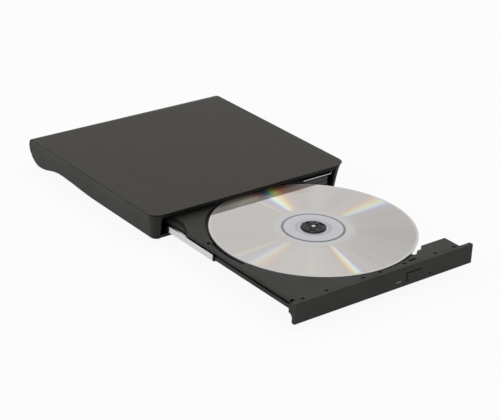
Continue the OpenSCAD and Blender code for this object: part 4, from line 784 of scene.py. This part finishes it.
def dipped_steel(name, dip_end_y):
    finish = metal(name, rail_dark, rail_pale, 0.24, roll_pitch, 0.02, 0.3)
    nodes, links = finish.node_tree.nodes, finish.node_tree.links
    shader = nodes["Principled BSDF"]
    along = nodes.new("ShaderNodeSeparateXYZ")
    links.new(place_on_piece(nodes, links, (1, 1, 1)), along.inputs[0])
    dipped = nodes.new("ShaderNodeMath")
    dipped.operation = "LESS_THAN"
    dipped.inputs[1].default_value = dip_end_y
    links.new(along.outputs["Y"], dipped.inputs[0])
    # Painted shade over the length inside the drive, joined with the real black dip at the front end.
    painted_shade_inside = nodes.new("ShaderNodeMath")
    painted_shade_inside.operation = "GREATER_THAN"
    painted_shade_inside.inputs[1].default_value = painted_shade_from_y
    links.new(along.outputs["Y"], painted_shade_inside.inputs[0])
    dip_or_painted_shade = nodes.new("ShaderNodeMath")
    dip_or_painted_shade.operation = "MAXIMUM"
    links.new(dipped.outputs[0], dip_or_painted_shade.inputs[0])
    links.new(painted_shade_inside.outputs[0], dip_or_painted_shade.inputs[1])
    bright = shader.inputs["Base Color"].links[0].from_socket
    coat = tint_between(nodes, links, noise_on(nodes, links, (900, 900, 900)), dip_and_painted_shade_black, dip_and_painted_shade_pale)
    links.new(mix_colours(nodes, links, dip_or_painted_shade.outputs[0], bright, coat), shader.inputs["Base Color"])
    return finish


rail_front_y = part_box("left_rail")[0].y
rolled_steel = dipped_steel("rolled_steel", rail_front_y + dip_length)
dress(rolled_steel, "left_rail", "right_rail", edge_mm=0.05)


# Tray: black moulded plastic with a round recess for the disc and a cut-away right side.
# Its upper faces have a fine matt grain.
tray_black = (0.023, 0.0221, 0.0202, 1)
tray_pale = (0.038, 0.0366, 0.0336, 1)
matt_tray = moulded_plastic("matt_tray", tray_black, tray_pale, 0.54, 0.20)
dress(matt_tray, "tray", edge_mm=0.12)


# Bezel and eject button: the same black plastic as the tray, clipped to its front.
# The button is a separate moulding that shows as a fine groove in the bezel's face.
bezel_black = (0.021, 0.0201, 0.0181, 1)
bezel_pale = (0.033, 0.0316, 0.0286, 1)
matt_bezel = moulded_plastic("matt_bezel", bezel_black, bezel_pale, 0.54, 0.2)
dress(matt_bezel, "bezel", "eject_button", edge_mm=0.15)


# Activity light: a frosted light pipe in the bezel, lit from behind by a lamp on the front board.
# It is dark here, because the drive is not plugged in.
pipe_dark = (0.18, 0.18, 0.172, 1)
pipe_pale = (0.30, 0.30, 0.288, 1)
frosted_pipe = moulded_plastic("frosted_pipe", pipe_dark, pipe_pale, 0.35, 0.5)
dress(frosted_pipe, "light_window", "status_lamp", edge_mm=0.05)


# White acetal: the ribbon's socket, the nut on the lead screw and the latch lever.
# It is left in its natural colour and has a dull wax-like shine.
acetal_dark = (0.58, 0.57, 0.53, 1)
acetal_pale = (0.70, 0.69, 0.65, 1)
white_acetal = moulded_plastic("white_acetal", acetal_dark, acetal_pale, 0.42, 0.5)
dress(white_acetal, "ribbon_socket", "drive_nut", "latch_lever", edge_mm=0.08)


# Traverse chassis and pickup carriage: dark die castings with a slightly rough skin.
# The rods and the spindle motor are pressed into them.
casting_dark = (0.07, 0.07, 0.072, 1)
casting_pale = (0.15, 0.15, 0.153, 1)
die_casting = metal("die_casting", casting_dark, casting_pale, 0.45, (700, 700, 700), 0.04, 0.4)
dress(die_casting, "chassis", "pickup_carriage", edge_mm=0.08)


# Windings: enamelled copper wire on the spindle motor and on the latch's solenoid.
# The turns lie close together and catch the light as fine lines.
copper_dark = (0.36, 0.13, 0.05, 1)
copper_pale = (0.62, 0.29, 0.14, 1)
copper_wire = metal("copper_wire", copper_dark, copper_pale, 0.30, (2400, 2400, 2400), 0.06, 0.6)
dress(copper_wire, "spindle_coil", "latch_solenoid", edge_mm=0.1)


# Chuck: a black hub with three sprung claws over a black turntable.
# Nine low pads stand round its top, and the motor's bright shaft shows in the middle.
hub_black = (0.006, 0.006, 0.008, 1)
hub_grey = (0.012, 0.012, 0.016, 1)
chuck_plastic = moulded_plastic("chuck_plastic", hub_black, hub_grey, 0.34, 0.22)
dress(chuck_plastic, "turntable", "chuck_hub", "chuck_claws", "lens_holder", edge_mm=0.08)


# Disc: clear polycarbonate over a mirror layer with a fine spiral track.
# The colours that the track splits light into are painted on as faint streaks, strongest toward the rim.
# The middle is clear, with moulded rings and a stacking groove.
disc_radius = (disc_high.x - disc_low.x) / 2
sector_start = -45.0
half_way = sector_start + 180
zones_mm = [
    (0.0, (0.52, 0.52, 0.56)),
    (8.4, (0.52, 0.52, 0.56)),
    (8.8, (0.34, 0.34, 0.37)),
    (9.2, (0.60, 0.60, 0.63)),
    (9.7, (0.36, 0.36, 0.39)),
    (10.3, (0.40, 0.40, 0.43)),
    (10.7, (0.53, 0.53, 0.57)),
    (16.9, (0.55, 0.55, 0.59)),
    (17.4, (0.17, 0.17, 0.17)),
    (18.3, (0.17, 0.17, 0.17)),
    (18.8, (0.58, 0.58, 0.59)),
    (21.9, (0.56, 0.55, 0.54)),
    (22.3, (0.62, 0.62, 0.62)),
    (22.8, (0.55, 0.525, 0.50)),
    (58.3, (0.55, 0.525, 0.50)),
    (58.9, (0.60, 0.60, 0.60)),
]
silver_tint = (1.0, 0.955, 0.91)
# Painted light and shade: broad tones round the disc, lighter or darker by angle as the light fell on it.
painted_light_tones = [
    (-45.0, 0.46), (-8.0, 0.46), (19.0, 0.54), (34.0, 0.53), (47.0, 0.59), (58.0, 0.54), (100.0, 0.55),
    (135.0, 0.55), (178.0, 0.55), (208.0, 0.58), (229.0, 0.62), (246.0, 0.57), (262.0, 0.54),
    (272.0, 0.51), (315.0, 0.46),
]
# Across one streak, from its red edge to its violet edge: the change of colour at each place
spectrum = [
    (-1.0, (0.00, 0.00, 0.00)),
    (-0.6, (0.13, 0.00, -0.03)),
    (-0.2, (0.28, 0.17, -0.05)),
    (0.05, (0.28, 0.33, 0.09)),
    (0.3, (0.23, 0.35, 0.34)),
    (0.55, (-0.03, 0.06, 0.22)),
    (0.8, (0.04, -0.02, 0.12)),
    (1.0, (0.00, 0.00, 0.00)),
]
# Painted highlights: the streaks' colours are painted fixed on the disc.
# Each streak: its angle, half its width, which edge is red, and how strong it is
streaks = [
    (7.0, 10.5, -1, 0.8),
    (79.8, 12.5, 1, 1.25),
    (95.6, 3.2, 1, 0.35),
    (184.0, 4.5, 1, 0.26),
    (198.0, 9.0, -1, 0.5),
    (254.0, 5.2, 1, 1.15),
]
# Painted reflection of the case's dark front across the rear of the disc, with vivid painted colours.
painted_reflection_sectors = [
    (50.0, (0.52, 0.46, 0.44)),
    (66.0, (0.50, 0.36, 0.32)),
    (71.5, (0.66, 0.30, 0.20)),
    (74.8, (0.92, 0.48, 0.22)),
    (77.2, (0.98, 0.92, 0.28)),
    (79.4, (0.62, 0.90, 0.36)),
    (82.0, (0.22, 0.52, 0.46)),
    (84.5, (0.18, 0.30, 0.44)),
    (87.0, (0.46, 0.28, 0.28)),
    (90.0, (0.70, 0.40, 0.30)),
    (94.0, (0.82, 0.73, 0.60)),
    (116.0, (0.86, 0.79, 0.65)),
]
# Where the painted reflection at the rear and the track lie: levels by radius in mm, and by angle
painted_reflection_reach_mm = [(46.0, 0), (50.0, 1), (59.0, 1), (60.0, 0.5)]
painted_reflection_arc = [(48.0, 0), (60.0, 1), (104.0, 1), (118.0, 0)]
track_reach_mm = [(22.5, 0), (27.0, 0.75), (40.0, 1), (58.3, 1), (58.9, 0)]
# Painted sheen: faint rays between the streaks, as many as a noise of this pitch gives round the disc
painted_sheen_pitch = 6.0
painted_sheen_low, painted_sheen_high = 0.91, 1.09


def ramp_of(nodes, stops):
    """A colour ramp from a list of places along it, each with its colour."""
    ramp = nodes.new("ShaderNodeValToRGB")
    for i, (position, colour) in enumerate(stops):
        stop = ramp.color_ramp.elements[i] if i < 2 else ramp.color_ramp.elements.new(1.0)
        stop.position = position
        stop.color = (*colour, 1)
    return ramp


def silver_with_painted_light_at(angle):
    """The silver's colour at an angle round the disc, with painted light and shade between its broad tones.
    """
    for (before, low_tone), (after, high_tone) in zip(painted_light_tones, painted_light_tones[1:]):
        if before <= angle <= after:
            tone = low_tone + (high_tone - low_tone) * (angle - before) / (after - before)
            return tuple(tone * share for share in silver_tint)


def sectors_between(first, last):
    """Colours round part of the disc: the painted broad tones, with each painted streak's spectrum laid over
    them.
    """
    sectors = [(angle, silver_with_painted_light_at(angle)) for angle, tone in painted_light_tones if first <= angle <= last
               and all(abs(angle - middle) > half for middle, half, red_edge, strength in streaks)]
    for middle, half, red_edge, strength in streaks:
        if first < middle < last:
            for place, change in spectrum:
                angle = middle + red_edge * place * half
                sectors.append((angle, tuple(plain + strength * shift
                                             for plain, shift in zip(silver_with_painted_light_at(angle), change))))
    return sorted(sectors)


def sector_ramp(nodes, links, turn_share, sectors):
    ramp = ramp_of(nodes, [((angle - sector_start) / 360, colour) for angle, colour in sectors])
    links.new(turn_share, ramp.inputs["Fac"])
    return ramp.outputs["Color"]


def by_radius(nodes, links, radius_share, levels_mm):
    ramp = ramp_of(nodes, [(radius / 1000 / disc_radius, (level,) * 3) for radius, level in levels_mm])
    links.new(radius_share, ramp.inputs["Fac"])
    return ramp.outputs["Color"]


def mirror_disc(name):
    finish, nodes, links, shader = new_finish(name)
    where = place_on_piece(nodes, links, (1, 1, 1), -disc_centre)
    parts = nodes.new("ShaderNodeSeparateXYZ")
    links.new(where, parts.inputs[0])
    flat = nodes.new("ShaderNodeCombineXYZ")
    links.new(parts.outputs["X"], flat.inputs["X"])
    links.new(parts.outputs["Y"], flat.inputs["Y"])
    reach = nodes.new("ShaderNodeVectorMath")
    reach.operation = "LENGTH"
    links.new(flat.outputs[0], reach.inputs[0])
    radius = nodes.new("ShaderNodeMath")
    radius.operation = "DIVIDE"
    radius.inputs[1].default_value = disc_radius
    links.new(reach.outputs["Value"], radius.inputs[0])
    radius_share = radius.outputs[0]
    # Angle round the disc, counted as a share of one turn from the start of the sectors
    spin = nodes.new("ShaderNodeVectorRotate")
    spin.rotation_type = "Z_AXIS"
    spin.inputs["Angle"].default_value = math.radians(-sector_start - 180)
    links.new(flat.outputs[0], spin.inputs["Vector"])
    turned = nodes.new("ShaderNodeSeparateXYZ")
    links.new(spin.outputs["Vector"], turned.inputs[0])
    angle = nodes.new("ShaderNodeMath")
    angle.operation = "ARCTAN2"
    links.new(turned.outputs["Y"], angle.inputs[0])
    links.new(turned.outputs["X"], angle.inputs[1])
    turn = nodes.new("ShaderNodeMapRange")
    turn.inputs["From Min"].default_value = -math.pi
    turn.inputs["From Max"].default_value = math.pi
    links.new(angle.outputs[0], turn.inputs["Value"])
    turn_share = turn.outputs["Result"]
    near_side = nodes.new("ShaderNodeMath")
    near_side.operation = "GREATER_THAN"
    near_side.inputs[1].default_value = 0.5
    links.new(turn_share, near_side.inputs[0])
    # Painted light and shade in broad tones round the disc, with the painted streaks laid over them.
    fan = mix_colours(nodes, links, near_side.outputs[0],
                      sector_ramp(nodes, links, turn_share, sectors_between(sector_start, half_way)),
                      sector_ramp(nodes, links, turn_share, sectors_between(half_way, half_way + 180)))
    # Painted sheen: faint rays round the disc scale its colours up and down.
    around = nodes.new("ShaderNodeVectorMath")
    around.operation = "NORMALIZE"
    links.new(flat.outputs[0], around.inputs[0])
    rays = nodes.new("ShaderNodeTexNoise")
    rays.inputs["Scale"].default_value = painted_sheen_pitch
    links.new(around.outputs[0], rays.inputs["Vector"])
    rayed = nodes.new("ShaderNodeVectorMath")
    rayed.operation = "SCALE"
    links.new(fan, rayed.inputs[0])
    links.new(spread_of(nodes, links, rays.outputs["Fac"], painted_sheen_low, painted_sheen_high), rayed.inputs["Scale"])
    # Painted reflection of the case's front, laid over the rear arc of the disc near its rim.
    strip = sector_ramp(nodes, links, turn_share, painted_reflection_sectors)
    in_painted_reflection = by_radius(nodes, links, radius_share, painted_reflection_reach_mm)
    rear_arc = sector_ramp(nodes, links, turn_share, [(at, (level,) * 3) for at, level in painted_reflection_arc])
    vivid = nodes.new("ShaderNodeMath")
    vivid.operation = "MULTIPLY"
    links.new(in_painted_reflection, vivid.inputs[0])
    links.new(rear_arc, vivid.inputs[1])
    bands = mix_colours(nodes, links, vivid.outputs[0], rayed.outputs[0], strip)
    zones = ramp_of(nodes, [(place / 1000 / disc_radius, colour) for place, colour in zones_mm])
    links.new(radius_share, zones.inputs["Fac"])
    tracked = by_radius(nodes, links, radius_share, track_reach_mm)
    links.new(mix_colours(nodes, links, tracked, zones.outputs["Color"], bands), shader.inputs["Base Color"])
    shader.inputs["Metallic"].default_value = 0.46
    shader.inputs["Roughness"].default_value = 0.05
    shader.inputs["Coat Weight"].default_value = 0.2
    shader.inputs["Coat Roughness"].default_value = 0.03
    return finish


tracked_mirror = mirror_disc("tracked_mirror")
dress(tracked_mirror, "disc", edge_mm=0.12)


# Objective lens: a small glass dome with a blue-violet coating.
# It sits in the lens holder, under the window of the deck plate.
glass_violet = (0.42, 0.50, 0.68, 1)
glass_blue = (0.55, 0.62, 0.80, 1)
coated_glass, glass_nodes, glass_links, glass_shader = new_finish("coated_glass")
glass_tone = noise_on(glass_nodes, glass_links, (300, 300, 300))
glass_links.new(tint_between(glass_nodes, glass_links, glass_tone, glass_violet, glass_blue),
                glass_shader.inputs["Base Color"])
glass_shader.inputs["Roughness"].default_value = 0.04
glass_shader.inputs["Transmission Weight"].default_value = 0.7
dress(coated_glass, "objective_lens")


# Ribbon: a flat flexible cable of tinned conductors between two white films.
# It is held at the rear board and in the tray's socket.
film_white = (0.70, 0.70, 0.67, 1)
conductor_grey = (0.42, 0.42, 0.40, 1)
ribbon_thick = 0.00015
ribbon_rise = 0.0012
ribbon_lift_y = 0.004
ribbon_end = 0.002
ribbon_step = 0.002
conductor_pitch = 0.0007
wave_length = 0.314
flat_cable, cable_nodes, cable_links, cable_shader = new_finish("flat_cable")
conductors = cable_nodes.new("ShaderNodeTexWave")
conductors.bands_direction = "X"
conductors.inputs["Scale"].default_value = 1.0
cable_links.new(place_on_piece(cable_nodes, cable_links, (wave_length / conductor_pitch, 0, 0)),
                conductors.inputs["Vector"])
cable_links.new(tint_between(cable_nodes, cable_links, conductors.outputs["Fac"], conductor_grey, film_white),
                cable_shader.inputs["Base Color"])
press_in(cable_nodes, cable_links, cable_shader, conductors.outputs["Fac"], 0.03, 0.4)
cable_shader.inputs["Roughness"].default_value = 0.35
ribbon_low, ribbon_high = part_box("ribbon_cable")
ribbon_x = (ribbon_low.x + ribbon_high.x) / 2
ribbon_half = Vector(((ribbon_high.x - ribbon_low.x) / 2, 0, 0))
ribbon_knees = [
    (ribbon_high.y, ribbon_low.z + ribbon_thick + ribbon_rise),
    (ribbon_high.y - ribbon_rise, ribbon_low.z + ribbon_thick),
    (ribbon_lift_y, ribbon_low.z + ribbon_thick),
    (ribbon_low.y + ribbon_end, ribbon_high.z),
    (ribbon_low.y, ribbon_high.z),
]
ribbon_path = [Vector((ribbon_x, *ribbon_knees[0]))]
for (y0, z0), (y1, z1) in zip(ribbon_knees, ribbon_knees[1:]):
    parts = max(1, round(abs(y1 - y0) / ribbon_step))
    for i in range(1, parts + 1):
        ribbon_path.append(Vector((ribbon_x, y0 + (y1 - y0) * i / parts, z0 + (z1 - z0) * i / parts)))
ribbon_mesh = bmesh.new()
strip_along(ribbon_mesh, ribbon_path, ribbon_half, Vector((0, 0, ribbon_thick)))
bmesh.ops.recalc_face_normals(ribbon_mesh, faces=ribbon_mesh.faces)
ribbon = new_piece("flat_ribbon", ribbon_mesh, flat_cable)
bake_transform(ribbon)
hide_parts("ribbon_cable")
